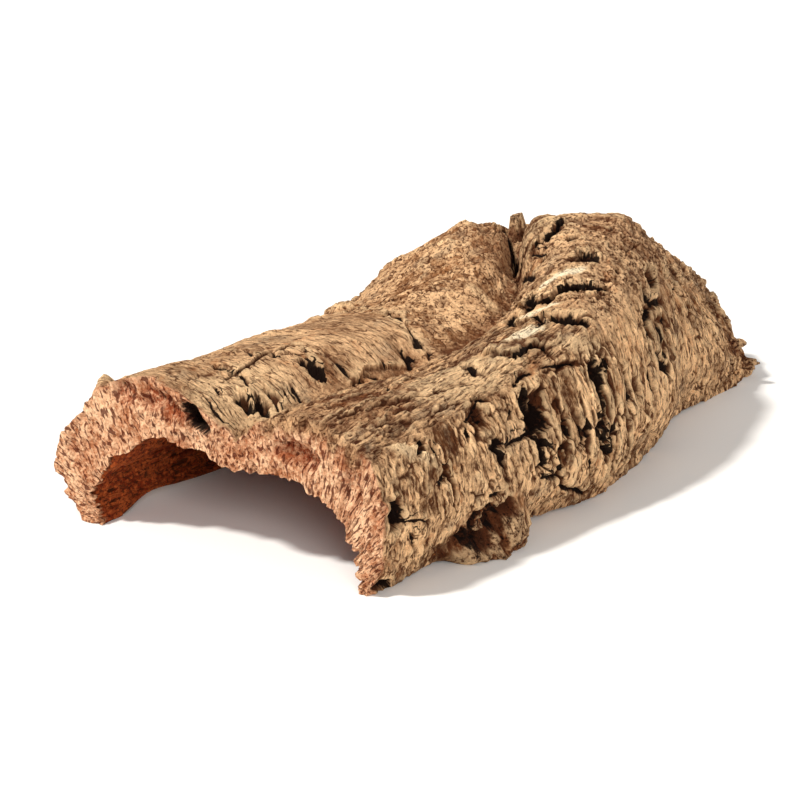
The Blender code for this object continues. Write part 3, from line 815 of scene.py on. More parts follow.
@dataclass
class Skin:
    """The outer skin's relief at each place: the solid's own, what this mesh adds, and the colour marks.

    Below slow_depth, in mm, a hole deepens only by deep_share of what its cracks and cuts add up to.
    """

    length: Grid
    girth: Grid
    slow_depth: float = 3.0
    deep_share: float = 0.35
    warped_s: Grid = field(init=False)
    warped_t: Grid = field(init=False)
    shares: dict[Surface, Grid] = field(init=False)
    height: Grid = field(init=False)
    shift_s: Grid = field(init=False)
    shift_t: Grid = field(init=False)
    # Painted shade in cracks, holes and thin crack lines, and under lifted scale edges.
    dark: Grid = field(init=False)
    pale: Grid = field(init=False)
    stain: Grid = field(init=False)
    # cut and near: where each slit's painted black shadow lies, and how strongly it shows.
    cut: Grid = field(init=False)
    near: Grid = field(init=False)

    def __post_init__(self) -> None:
        """Works out the relief, first the form that the solid shares and then the finer work."""
        s, t = self.length, self.girth
        self.warped_s = s + 1.3 * noise(s / 6, t / 6, 5.5, 21) + 0.8 * noise(s / 2.3, t / 2.3, 5.8, 25)
        self.warped_t = t + 1.3 * noise(s / 6, t / 6, 9.5, 22) + 0.8 * noise(s / 2.3, t / 2.3, 9.8, 26)
        self.shares = surfaces(self.warped_s, self.warped_t)
        self.dark = np.zeros(s.shape)
        self.pale = self.patched(PALE_PATCHES)
        self.stain = self.patched(STAINS)
        self.shift_s = np.zeros(s.shape)
        self.shift_t = np.zeros(s.shape)
        self.cut = np.full(s.shape, 99.0)
        self.near = np.zeros(s.shape)
        self.height = self.grain() + self.swell()
        self.lift_plates()
        self.open_cracks()
        self.sink_hollows()
        self.height = self.height + self.fine_work()
        self.slit()
        deeper = -self.slow_depth + self.deep_share * (self.height + self.slow_depth)
        self.height = np.where(self.height < -self.slow_depth, deeper, self.height)

    def patched(self, patches: tuple[Patch, ...]) -> Grid:
        """Works out how much of any of the patches each place gets."""
        return np.max([patch.share(self.warped_s, self.warped_t) for patch in patches], axis=0)

    def swell(self) -> Grid:
        """Soft waves of the whole skin, in mm."""
        s, t = self.warped_s, self.warped_t
        return 1.8 * noise(s / 26, t / 24, 4.4, 23) + 0.7 * noise(s / 11, t / 10, 4.9, 24)

    def grain(self) -> Grid:
        """Fibres along the right lobe, ribs round the flank, lumps and plates, in mm."""
        s, t, shares = self.warped_s, self.warped_t, self.shares
        bend = 6 * noise(s / 34, t / 30, 0, 3)
        height = shares[Surface.PLATES] * 0.8 * ridged(s / 10, (t + bend) / 40, 0.3, 11)
        height = height + shares[Surface.LUMPS] * 1.6 * layered(s / 12, t / 12, 0.7, 12, 2)
        height = height + shares[Surface.HUMP] * (ridged((s - 0.5 * t) / 9, (t + bend) / 26, 1.1, 13) - 0.5)
        height = height + shares[Surface.FIBRES] * (ridged(s / 34, (t + 0.5 * bend) / 8, 1.9, 14) - 0.5)
        ribs = ridged((s + 0.8 * bend) / 8.5, t / 30, 2.7, 15) - 0.5
        height = height + shares[Surface.FLANK] * (0.7 + 0.6 * smooth(60, 85, s)) * ribs
        return height + shares[Surface.BACK] * 1.2 * (ridged((s + bend) / 13, (t + bend) / 16, 3.3, 16) - 0.5)

    def lift_plates(self) -> None:
        """Raises the edge of each plate, and leans it out over what lies below."""
        for lip in LIPS:
            near = along_path(self.warped_s, self.warped_t, lip.path)
            taper = smooth(0, 0.18, near.where) * smooth(1, 0.82, near.where)
            raised = (near.side > 0) * taper
            self.height = self.height + lip.height * raised * np.exp(-near.distance / lip.reach)
            lean = 0.45 * lip.height * raised * np.exp(-near.distance / 3.0)
            self.shift_s -= lean * near.left_s
            self.shift_t -= lean * near.left_t

    def open_cracks(self) -> None:
        """Opens each crack."""
        for crack in CRACKS:
            near = along_path(self.warped_s, self.warped_t, crack.path)
            taper = 0.45 + 0.55 * np.sin(np.pi * np.clip(near.where, 0.02, 0.98))
            across = 2 * near.distance / (0.45 * crack.width * taper + 0.6)
            self.height = self.height - 0.6 * crack.depth * taper * smooth(1.15, 0.4, across)
            # Painted shade in the crack, darker the deeper it is.
            self.dark = np.maximum(self.dark, 0.8 * smooth(1.05, 0.6, across) * min(1, crack.depth / 3.6))

    def sink_hollows(self) -> None:
        """Sinks each hole and raises each knob."""
        for hollow in HOLLOWS:
            away_s = (self.warped_s - hollow.length) / hollow.half_length
            away_t = (self.warped_t - hollow.girth) / hollow.half_girth
            ragged = min(0.25, 0.8 / abs(hollow.depth))
            away = np.hypot(away_s, away_t) + ragged * noise(self.length / 2.6, self.girth / 2.6, 0.6, 59)
            rim = (1.15, 0.62) if hollow.depth > 3 else (1.25, 0.5)
            self.height = self.height - hollow.depth * smooth(*rim, away)
            # Painted shade in the deeper holes.
            if hollow.depth > 3:
                self.dark = np.maximum(self.dark, 0.7 * smooth(1.0, 0.6, away))

    def slit(self) -> None:
        """Cuts the sharp slits.

        It marks how far each place is from the middle of the slit closest to it, in shares of its half
        width, and how strongly that slit shows there.
        """
        s = self.length + 0.5 * noise(self.length / 2.6, self.girth / 2.6, 6.1, 86)
        t = self.girth + 0.5 * noise(self.length / 2.6, self.girth / 2.6, 6.7, 87)
        for line in CUTS:
            near = along_path(s, t, line.path)
            ends = smooth(0, 0.12, near.where) * smooth(1, 0.88, near.where) if line.thin else 1
            taper = 0.55 + 0.45 * np.sin(np.pi * near.where) if line.thin else 1
            away = near.distance / (0.5 * line.width * taper + 0.16)
            wide = near.distance / (0.5 * line.width * taper + 0.6)
            self.height = self.height - line.depth * smooth(1.3, 0.3, wide)
            # Marks for the painted black shadow that the shader puts in each slit.
            closer = away < np.abs(self.cut)
            signed = away * near.side if line.thin else away
            shown = ends * smooth(3.4, 1.9, near.distance - 0.5 * line.width)
            self.near = np.where(closer, shown, self.near)
            self.cut = np.where(closer, signed, self.cut)
        self.cut = np.clip(self.cut, -3, 3)

    def fine_work(self) -> Grid:
        """What the solid is too coarse for: thin cracks, fibres, scales and crumbs, in mm."""
        work = {
            Surface.PLATES: self.plate_work,
            Surface.LUMPS: self.lump_work,
            Surface.HUMP: self.scale_work,
            Surface.FIBRES: self.fibre_work,
            Surface.FLANK: self.flank_work,
            Surface.BACK: self.back_work,
        }
        s = self.length + noise(self.length / 5, self.girth / 5, 0.3, 57)
        t = self.girth + noise(self.length / 5, self.girth / 5, 0.7, 58)
        height = 0.2 * layered(s / 3, t / 3, 0.9, 60, 2)
        knob = smooth(14, 8, np.hypot(s - NOTCH_KNOB.length, t - NOTCH_KNOB.girth))
        calm = (1 - 0.75 * self.pale) * (1 - 0.5 * FOOT.share(s, t)) * (1 - 0.6 * knob)
        for surface, relief in work.items():
            share = self.shares[surface]
            fine, lines = relief(s, t)
            height = height + share * fine * calm
            # Painted shade: each kind of surface's dark lines darken its fine cracks, and on the hump the dip
            # under each lifted edge.
            self.dark = np.maximum(self.dark, share * lines * calm)
        return height

    def plate_work(self, s: Grid, t: Grid) -> tuple[Grid, Grid]:
        """Thin cracks across the smooth plates, and a faint grain: its height and its dark lines."""
        patch = smooth(-0.25, 0.25, noise(s / 15, t / 11, 0.4, 61)) * (0.25 + 0.75 * smooth(66, 58, s))
        gap, level = broken((s + 0.12 * t) / 4.6, t / 16, 62)
        fine_gap, fine = broken((s + 0.12 * t) / 2.4, t / 4, 63)
        lines = smooth(0.12, 0.03, gap) * patch
        rough = 0.3 + 0.7 * smooth(90, 76, t)
        height = 0.1 * level + 0.16 * rough * fine - 0.6 * lines - 0.15 * smooth(0.2, 0, fine_gap) * rough
        return height, 0.5 * lines

    def lump_work(self, s: Grid, t: Grid) -> tuple[Grid, Grid]:
        """Crumbly lumps: their height and dark lines."""
        gap, level = broken(s / 7, t / 6, 65)
        fine_gap, fine = broken((s + t) / 3.2, (s - t) / 2.2, 66)
        patch = smooth(0, 0.6, noise(s / 9, t / 9, 1.4, 67))
        lines = smooth(0.14, 0.02, gap) * patch
        return 0.35 * level + 0.22 * fine - 0.2 * smooth(0.3, 0, fine_gap) - lines, 0.5 * lines

    def fibre_work(self, s: Grid, t: Grid) -> tuple[Grid, Grid]:
        """Broken fibres along the right lobe: their height and dark lines."""
        sway = t + 0.1 * s + 1.5 * noise(s / 14, t / 10, 2.2, 68)
        gap, level = broken(s / 15, sway / 3.6, 69)
        fine_gap, fine = broken(s / 7, sway / 2.0, 70)
        patch = smooth(-0.4, 0.3, noise(s / 11, t / 6, 1.7, 71))
        lines = smooth(0.17, 0.03, gap) * patch
        return 0.55 * level + 0.35 * fine - 0.3 * smooth(0.3, 0, fine_gap) - 0.9 * lines, 0.5 * lines

    def scale_work(self, s: Grid, t: Grid) -> tuple[Grid, Grid]:
        """Cracked scales on the hump, some with a lifted edge towards the sawn end: height and dark lines."""
        sway = 0.8 * noise(s / 24, t / 13, 3.2, 72) + 0.2 * noise(s / 4, t / 4, 3.4, 73)
        order = (0.95 * s - 0.45 * t) / 11 + sway
        share = order - np.floor(order)
        row = np.floor(order).astype(np.int64)
        column = np.floor(t / 12 + 0.37 * row).astype(np.int64)
        lifted = smooth(-0.2, 0.9, chance(row, column, row, 74))
        # The dip under each lifted edge, which the dark lines also paint with shade.
        under = smooth(0.88, 0.96, share) * smooth(0.3, 0.7, lifted)
        gap, level = broken(s / 6, t / 5, 75)
        fine_gap, fine = broken(s / 2.6, t / 2.6, 76)
        lines = smooth(0.12, 0.02, gap) * smooth(-0.3, 0.4, noise(s / 9, t / 9, 2.4, 77))
        height = 1.4 * lifted * (1 - share) ** 1.5 - 0.9 * under + 0.4 * level + 0.3 * fine
        height = height - 0.25 * smooth(0.3, 0, fine_gap) - 0.8 * lines
        return height, np.maximum(0.8 * under, 0.5 * lines)

    def flank_work(self, s: Grid, t: Grid) -> tuple[Grid, Grid]:
        """Upright splinters with slots between: their height, and dark lines that paint shade into the slots.
        """
        slots = smooth(68, 84, s) * smooth(150, 130, s)
        long_gap, long_level = broken(s / 4.2, t / 14, 78)
        even_gap, even_level = broken(s / 5.0, t / 6.0, 84)
        upright = np.maximum(slots, smooth(-0.3, 0.4, noise(s / 20, t / 16, 4.1, 85)))
        gap = upright * long_gap + (1 - upright) * even_gap
        level = upright * long_level + (1 - upright) * even_level
        fine_gap, fine = broken(s / 2.2, t / 4.2, 79)
        patch = smooth(-0.1, 0.5, noise(s / 12, t / 12, 3.1, 80) + 0.5 * slots * smooth(228, 214, t))
        lines = smooth(0.16, 0.05, gap) * patch
        height = (0.5 + 0.3 * slots) * level + 0.36 * fine - 0.25 * smooth(0.3, 0, fine_gap)
        return height - (1.2 + 1.4 * slots) * lines, (0.6 + 0.3 * slots) * lines

    def back_work(self, s: Grid, t: Grid) -> tuple[Grid, Grid]:
        """Coarse furrowed skin on the left wall: its height and dark lines."""
        gap, level = broken(s / 5.5, t / 10, 81)
        fine_gap, fine = broken(s / 2.6, t / 3.6, 82)
        lines = smooth(0.16, 0.03, gap) * smooth(-0.1, 0.5, noise(s / 12, t / 12, 3.6, 83))
        return 0.9 * level + 0.5 * fine - 0.4 * smooth(0.3, 0, fine_gap) - 1.6 * lines, 0.7 * lines


def outward(points: Grid) -> Grid:
    """Finds the unit normals of a grid of points, out of the bark."""
    across = np.cross(np.gradient(points, axis=0), np.gradient(points, axis=1))
    return across / -np.linalg.norm(across, axis=-1, keepdims=True)


def unit(vectors: Grid) -> Grid:
    """Scales each vector to a length of 1."""
    return vectors / np.linalg.norm(vectors, axis=-1, keepdims=True)


def within_solid(points: Grid) -> Grid:
    """Keeps points, in metres, inside the solid's box."""
    return np.clip(points, np.array(CAD_BOX[0]), np.array(CAD_BOX[1]))


def box_shell(rows: int, columns: int, layers: int) -> tuple[Grid, Grid]:
    """Lists the outside of a block of cells.

    Args:
        rows: cells along the bark.
        columns: cells round it.
        layers: cells through its wall.

    Returns:
        The whole-number place of each corner, and the four-sided faces.
    """
    size = (rows, columns, layers)
    sides = []
    for axis in range(3):
        first, second = (axis + 1) % 3, (axis + 2) % 3
        a, b = np.meshgrid(np.arange(size[first]), np.arange(size[second]), indexing="ij")
        for end in (0, size[axis]):
            ring = ((0, 0), (0, 1), (1, 1), (1, 0)) if end else ((0, 0), (1, 0), (1, 1), (0, 1))
            corners = np.zeros(a.shape + (4, 3), int)
            corners[..., axis] = end
            for k, (da, db) in enumerate(ring):
                corners[..., k, first] = a + da
                corners[..., k, second] = b + db
            sides.append(corners.reshape(-1, 4, 3))
    corners = np.concatenate(sides)
    places, index = np.unique(corners.reshape(-1, 3), axis=0, return_inverse=True)
    return places, index.reshape(-1, 4)


@dataclass
class Bark:
    """The bark itself: one closed mesh, with marks on its points that its finish reads."""

    name: str = "bark_skin"
    body: str = "root"
    node: str = "bark"
    slot: str = "cork"
    form: Form = field(default_factory=Form)
    rows: int = 520
    columns: int = 400
    layers: int = 24
    wall: float = 15.0
    triangles: int = 198000
    level: float = 0.35
    sharp_angle: float = 32.0

    def hollow_side(self, s: Grid, t: Grid) -> tuple[Grid, Grid]:
        """Works out the inner face.

        Args:
            s: length of each place.
            t: girth of each place.

        Returns:
            The height of its waves, furrows and pits in mm, and the painted shade in its pits.
        """
        waves = noise(s / 26, t / 20, 6.6, 31) + 0.6 * noise(s / 12, t / 7, 7.7, 32)
        gap, level = broken(s / 14, t / 5, 33)
        pits = smooth(0.30, 0.55, noise(s / 5, t / 3, 6.4, 34))
        rim = smooth(8, 0, s) * (0.8 * noise(t / 4, s / 9, 1.1, 35) + 1.6 * noise(t / 8, s / 9, 2.1, 36))
        return waves + 0.5 * level + rim - 0.8 * pits - 0.4 * smooth(0.2, 0, gap), pits

    def skins(self) -> dict[str, Grid]:
        """Makes the inner and outer skins as grids of points, with the marks for their colour."""
        form = self.form
        girth = np.linspace(0, form.round_girth, self.columns + 1)[None, :] + np.zeros((self.rows + 1, 1))
        end = spline(form.far_girth, form.far_end, girth)
        length = np.linspace(0, 1, self.rows + 1)[:, None] * end
        inner = form.loft(form.inner_girth, form.inner, length, girth)
        outer = form.loft(form.outer_girth, form.outer, length, girth)
        from_ends = np.minimum(length, end - length)
        from_edges = np.minimum(girth, form.round_girth - girth)
        whole = (0.5 + 0.5 * smooth(0, 5, from_ends)) * smooth(-3, 4, from_edges)
        out = outward(form.loft(form.outer_girth, form.without_valley(), length, girth))
        skin = Skin(length, girth)
        along = unit(np.gradient(outer, axis=0))
        across = unit(np.gradient(outer, axis=1))
        crumbs = layered(*np.moveaxis(outer / 2.6, -1, 0), 49, 2)
        crumbs = crumbs * (1 - 0.65 * skin.shares[Surface.PLATES]) * (1 - 0.7 * skin.pale)
        crumbs = crumbs * (1 + 2.0 * FOOT.share(length, girth))
        relief = (skin.height + 0.45 * crumbs) * whole
        outer = outer + relief[..., None] * out
        outer = outer + (skin.shift_s * whole)[..., None] * along + (skin.shift_t * whole)[..., None] * across
        waves, pits = self.hollow_side(length, girth)
        inner = inner - (waves * smooth(-2, 7, from_edges))[..., None] * outward(inner)
        lift = form.edge_lift(length, girth)
        inner[..., 2] += lift
        outer[..., 2] += lift
        grids = {"inner": inner, "outer": outer, "length": length, "girth": girth, "pits": pits}
        grids |= {surface.value: share for surface, share in skin.shares.items()}
        grids |= {"dark": skin.dark, "pale": skin.pale, "stain": skin.stain}
        grids |= {"cut": skin.cut, "near": skin.near}
        # Painted shade in hollows and painted highlight on ridges: the first mark darkens what lies below the
        # blurred relief round it, the second lightens what stands above it.
        around = blurred(relief, 4)
        grids["pit"] = np.clip((around - relief) / 1.3, 0, 1)
        grids["crest"] = np.clip((relief - around) / 1.1, 0, 1)
        return grids

    def face_relief(self, points: Grid, girth: Grid, share: Grid) -> tuple[Grid, Grid, Grid]:
        """Works out the sawn face.

        Args:
            points: where its points are.
            girth: girth of each.
            share: share of the wall from the inside, for each.

        Returns:
            How far each point lies back from the cut, in mm, the painted shade in its deep holes, and how
            torn it is.
        """
        depth = share * self.wall
        back = 0.5 * noise(points[:, 0] / 7, points[:, 2] / 7, 8.8, 41)
        dark, torn = np.zeros(girth.shape), np.zeros(girth.shape)
        for hole in FACE_HOLLOWS:
            away = np.hypot((girth - hole.girth) / hole.half_girth, (share - hole.share) / hole.half_share)
            away = away + 0.25 * noise(girth / 3, depth / 2.5, 8.1, 43)
            back = back + hole.depth * smooth(1.15, 0.5, away)
            # Painted shade in the deep holes.
            dark = np.maximum(dark, np.clip((1.9 - away) / 1.3, 0, 1) * smooth(7, 11, hole.depth))
            torn = np.maximum(torn, smooth(1.2, 0.6, away) * smooth(1, 3.5, hole.depth))
        gap, level = broken(girth / 2.0, depth / 1.9, 44)
        spots = smooth(0.24, 0.48, noise(girth / 1.5, depth / 2.1, 8.3, 45) + 0.15 * torn)
        shreds = 1.6 * noise((girth + 0.8 * depth) / 1.7, depth / 5, 8.4, 46) * torn
        inside = smooth(0, 0.05, share) * smooth(1, 0.95, share)
        back = back + inside * (0.8 * spots + shreds - 0.2 * level + 0.15 * smooth(0.25, 0, gap))
        return back, dark, torn

    def points(self, skins: dict[str, Grid], places: Grid) -> tuple[Grid, dict[str, Grid]]:
        """Places every corner of the shell.

        Args:
            skins: the inner and outer skins and their marks.
            places: the whole-number place of each corner.

        Returns:
            The corners in mm, and the marks on them.
        """
        row, column, layer = places.T
        share = layer / self.layers
        inner, outer = skins["inner"][row, column], skins["outer"][row, column]
        points = inner * (1 - share)[:, None] + outer * share[:, None]
        girth, length = skins["girth"][row, column], skins["length"][row, column]
        back, face_hole_shade, torn = self.face_relief(points, girth, share)
        chips = 2.6 * smooth(0.1, 0.6, noise(girth / 4, share * 2, 8.7, 46)) * smooth(0.6, 1, share)
        chips = chips + 2.0 * smooth(0.1, 0.6, noise(girth / 3.4, share * 2, 8.9, 47)) * smooth(0.4, 0, share)
        sawn = np.where(row == 0, back, 0) + chips * smooth(9, 0, length)
        slant = 3.0 * noise(points[:, 0] / 9, points[:, 2] / 9, 9.9, 42) - 4 * (share - 0.5)
        ragged = 1.8 * layered(points[:, 0] / 3, points[:, 2] / 3, 4.8, 48, 2) * (row == self.rows)
        points[:, 1] += sawn + slant * smooth(0.94, 1, row / self.rows) + ragged
        on_skin, on_inner = layer == self.layers, layer == 0
        names = ["pit", "crest", "pale", "stain", *(surface.value for surface in Surface)]
        marks = {name: skins[name][row, column] * on_skin for name in names}
        over = smooth(0.66, 0.84, share + 0.12 * noise(girth / 4, share * 4, 8.2, 50))
        over = over * smooth(136, 146, girth) * smooth(190, 180, girth)
        marks["sawn"] = np.where(row == 0, 1 - over, (row == self.rows) * 1.0)
        marks["inner"] = on_inner * (row > 0) * (row < self.rows) * 1.0
        # Painted shade: on the skin in its cracks, holes and fine crack lines, on the inner face in its pits,
        # and on the sawn face in its deep holes.
        marks["dark"] = np.where(on_skin, skins["dark"][row, column], 0)
        marks["dark"] = np.where(on_inner, skins["pits"][row, column] * 0.6, marks["dark"])
        marks["dark"] = np.where(row == 0, face_hole_shade * (1 - 0.5 * on_skin), marks["dark"])
        marks["torn"] = np.where(row == 0, torn, 0)
        # The sawn face's deep holes take the slits' painted black shadow too.
        face_cut = np.where(row == 0, 3 - 3 * face_hole_shade, 3.0)
        marks["cut"] = np.where(on_skin, skins["cut"][row, column], face_cut)
        marks["near"] = np.where(on_skin, skins["near"][row, column], (row == 0) * 1.0)
        marks["place"] = np.stack([length, girth, share * self.wall], axis=-1)
        return points, marks

    def settle(self, points: Grid) -> Grid:
        """Moves the corners to the row's frame, in metres, on the ground and inside the solid's box."""
        points = points - np.array((*self.form.centre, 0))
        points[:, 2] = np.where(points[:, 2] < self.level, 0, points[:, 2])
        return within_solid(points * MM)

    def mesh(self) -> bpy.types.Mesh:
        """Builds the closed mesh, with its marks as attributes of its points."""
        places, faces = box_shell(self.rows, self.columns, self.layers)
        points, marks = self.points(self.skins(), places)
        mesh = bpy.data.meshes.new(self.name)
        mesh.from_pydata(self.settle(points).tolist(), [], faces.tolist())
        for key, values in marks.items():
            kind, slot = ("FLOAT_VECTOR", "vector") if values.ndim == 2 else ("FLOAT", "value")
            attribute = mesh.attributes.new(key, kind, "POINT")
            attribute.data.foreach_set(slot, values.astype(np.float32).ravel())
        mesh.update()
        return mesh

    def thinned(self, bark: bpy.types.Object) -> bpy.types.Mesh:
        """Makes a copy of the mesh with fewer triangles, still inside the solid's box."""
        bark.data.calc_loop_triangles()
        fewer = bark.modifiers.new("fewer_faces", "DECIMATE")
        fewer.ratio = min(1, self.triangles / len(bark.data.loop_triangles))
        graph = bpy.context.evaluated_depsgraph_get()
        mesh = bpy.data.meshes.new_from_object(bark.evaluated_get(graph))
        bark.modifiers.remove(fewer)
        corners = np.empty(3 * len(mesh.vertices), np.float32)
        mesh.vertices.foreach_get("co", corners)
        corners = within_solid(corners.reshape(-1, 3)).astype(np.float32)
        mesh.vertices.foreach_set("co", corners.ravel())
        mesh.update()
        return mesh

    def build(self, finish: Cork) -> bpy.types.Object:
        """Builds and dresses the bark.

        Args:
            finish: what it is dressed in.

        Returns:
            The object, riding on its body in place of the solid.
        """
        bark = bpy.data.objects.new(self.name, self.mesh())
        bpy.context.scene.collection.objects.link(bark)
        mesh = self.thinned(bark)
        mesh.shade_smooth()
        mesh.set_sharp_from_angle(angle=math.radians(self.sharp_angle))
        bark.data = mesh
        bark.data.materials.append(finish.material())
        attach(bark, self.body)
        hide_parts(self.node)
        LOG.info("%s: %d faces", bark.name, len(mesh.polygons))
        return bark


# Shader maths.


class Field:
    """A value that changes over a surface: a socket that Python's own arithmetic works on."""

    def __init__(self, graph: Graph, socket: bpy.types.NodeSocket) -> None:
        """Keeps the graph and the socket."""
        self.graph = graph
        self.socket = socket

    def _maths(self, operation: str, *values: Field | float) -> Field:
        """Adds a Math node.

        Args:
            operation: what the node does.
            values: its inputs, in order.

        Returns:
            The result.
        """
        node = self.graph.node("ShaderNodeMath", {"operation": operation}, dict(enumerate(values)))
        return Field(self.graph, node.outputs[0])

    def __add__(self, other: Field | float) -> Field:
        """Adds."""
        return self._maths("ADD", self, other)

    __radd__ = __add__

    def __sub__(self, other: Field | float) -> Field:
        """Takes other away."""
        return self._maths("SUBTRACT", self, other)

    def __rsub__(self, other: float) -> Field:
        """Takes this away from a number."""
        return self._maths("SUBTRACT", other, self)

    def __mul__(self, other: Field | float) -> Field:
        """Multiplies."""
        return self._maths("MULTIPLY", self, other)

    __rmul__ = __mul__

    def __abs__(self) -> Field:
        """Drops the sign."""
        return self._maths("ABSOLUTE", self)

    def clamped(self) -> Field:
        """Keeps the value between 0 and 1."""
        return self._maths("MINIMUM", self._maths("MAXIMUM", self, 0.0), 1.0)

    def step(self, low: float, high: float) -> Field:
        """Makes an S-shaped step from 0 at low to 1 at high."""
        settings = {"interpolation_type": "SMOOTHSTEP", "clamp": True}
        inputs = {"Value": self, "From Min": low, "From Max": high, "To Min": 0.0, "To Max": 1.0}
        return Field(self.graph, self.graph.node("ShaderNodeMapRange", settings, inputs).outputs[0])


class Graph:
    """The node tree of one material."""

    def __init__(self, name: str) -> None:
        """Starts a material with nothing but its Principled shader and output."""
        self.material = bpy.data.materials.new(name)
        self.material.use_nodes = True
        self.tree = self.material.node_tree
        self.shader = self.tree.nodes["Principled BSDF"]

    def feed(self, socket: bpy.types.NodeSocket, value: Field | float | tuple) -> None:
        """Links a field to a socket, or sets a constant on it."""
        if isinstance(value, Field):
            self.tree.links.new(value.socket, socket)
        else:
            socket.default_value = value

    def node(self, kind: str, settings: dict, inputs: dict) -> bpy.types.Node:
        """Adds a node.

        Args:
            kind: the node's type.
            settings: its own settings, which are set first.
            inputs: a value or field for each socket, by name or number.

        Returns:
            The node.
        """
        node = self.tree.nodes.new(kind)
        for key, value in settings.items():
            setattr(node, key, value)
        for key, value in inputs.items():
            self.feed(node.inputs[key], value)
        return node

    def mark(self, name: str) -> Field:
        """Reads a number that the mesh carries on its points."""
        node = self.node("ShaderNodeAttribute", {"attribute_name": name}, {})
        return Field(self, node.outputs["Fac"])

    def place(self, *cell: float) -> Field:
        """Reads each point's (length, girth, depth) in mm, divided by a cell's size along each."""
        node = self.node("ShaderNodeAttribute", {"attribute_name": "place"}, {})
        return self.vector("MULTIPLY", Field(self, node.outputs["Vector"]), tuple(1 / size for size in cell))

    def vector(self, operation: str, *values: Field | tuple) -> Field:
        """Adds a Vector Math node.

        Args:
            operation: what the node does.
            values: its inputs, in order.

        Returns:
            The result.
        """
        node = self.node("ShaderNodeVectorMath", {"operation": operation}, dict(enumerate(values)))
        return Field(self, node.outputs[0])

    def cells(self, cell: tuple, sway: float) -> tuple[Field, Field]:
        """Breaks the surface into angular cells.

        Args:
            cell: size of the cells in mm along the length, round the girth and through the wall.
            sway: how far noise pushes them about, as a share of a cell.

        Returns:
            How far each point is from the gap round its cell, and a number from 0 to 1 for each cell.
        """
        place = self.place(*cell)
        turned = self.node("ShaderNodeTexNoise", {}, {"Vector": place, "Scale": 0.8, "Detail": 2.0})
        shift = self.vector("SUBTRACT", Field(self, turned.outputs["Color"]), (0.5, 0.5, 0.5))
        place = self.vector("MULTIPLY_ADD", shift, (2 * sway,) * 3, place)
        inputs = {"Vector": place, "Scale": 1.0}
        gap = self.node("ShaderNodeTexVoronoi", {"feature": "DISTANCE_TO_EDGE"}, inputs)
        each = self.node("ShaderNodeTexVoronoi", {"feature": "F1"}, inputs)
        return Field(self, gap.outputs["Distance"]), Field(self, each.outputs["Color"])

    def noise(self, cell: tuple, detail: float, roughness: float) -> Field:
        """Makes noise on the bark's own places.

        Args:
            cell: size of its cells in mm along the length, round the girth and through the wall.
            detail: how many finer layers it has.
            roughness: how strong they are.

        Returns:
            Noise from 0 to 1.
        """
        inputs = {"Vector": self.place(*cell), "Scale": 1.0, "Detail": detail, "Roughness": roughness}
        return Field(self, self.node("ShaderNodeTexNoise", {}, inputs).outputs[0])

    def grit(self, size: float, detail: float, roughness: float) -> Field:
        """Makes noise in plain space, which is as fine on steep places as on flat ones.

        Args:
            size: size of its cells in mm.
            detail: how many finer layers it has.
            roughness: how strong they are.

        Returns:
            Noise from 0 to 1.
        """
        space = Field(self, self.node("ShaderNodeTexCoord", {}, {}).outputs["Object"])
        inputs = {"Vector": space, "Scale": 1 / (size * MM), "Detail": detail, "Roughness": roughness}
        return Field(self, self.node("ShaderNodeTexNoise", {}, inputs).outputs[0])

    def mix(
        self, factor: Field | float, first: Field | tuple, second: Field | tuple, how: str = "MIX"
    ) -> Field:
        """Mixes two colours.

        Args:
            factor: share of the second.
            first: a colour.
            second: a colour.
            how: the way of mixing.

        Returns:
            The mixed colour.
        """
        settings = {"data_type": "RGBA", "blend_type": how}
        node = self.node("ShaderNodeMix", settings, {0: factor, 6: first, 7: second})
        return Field(self, node.outputs[2])

    def bump(self, height: Field, strength: float, distance: float, below: Field | None = None) -> Field:
        """Turns a height into a normal.

        Args:
            height: the height.
            strength: how much of it shows.
            distance: what a height of 1 stands for, in metres.
            below: a normal to add it to.

        Returns:
            The normal.
        """
        inputs = {"Height": height, "Strength": strength, "Distance": distance}
        if below is not None:
            inputs["Normal"] = below
        return Field(self, self.node("ShaderNodeBump", {}, inputs).outputs[0])


def linear(colour: Colour) -> tuple[float, float, float, float]:
    """Turns a screen colour of 0 to 255 into the linear one that shaders take."""
    shares = [c / 255 for c in colour]
    return (*(c / 12.92 if c <= 0.04045 else ((c + 0.055) / 1.055) ** 2.4 for c in shares), 1.0)


@dataclass(frozen=True)
class Tones:
    """The dark and the light colour of one kind of surface."""

    dark: Colour
    light: Colour


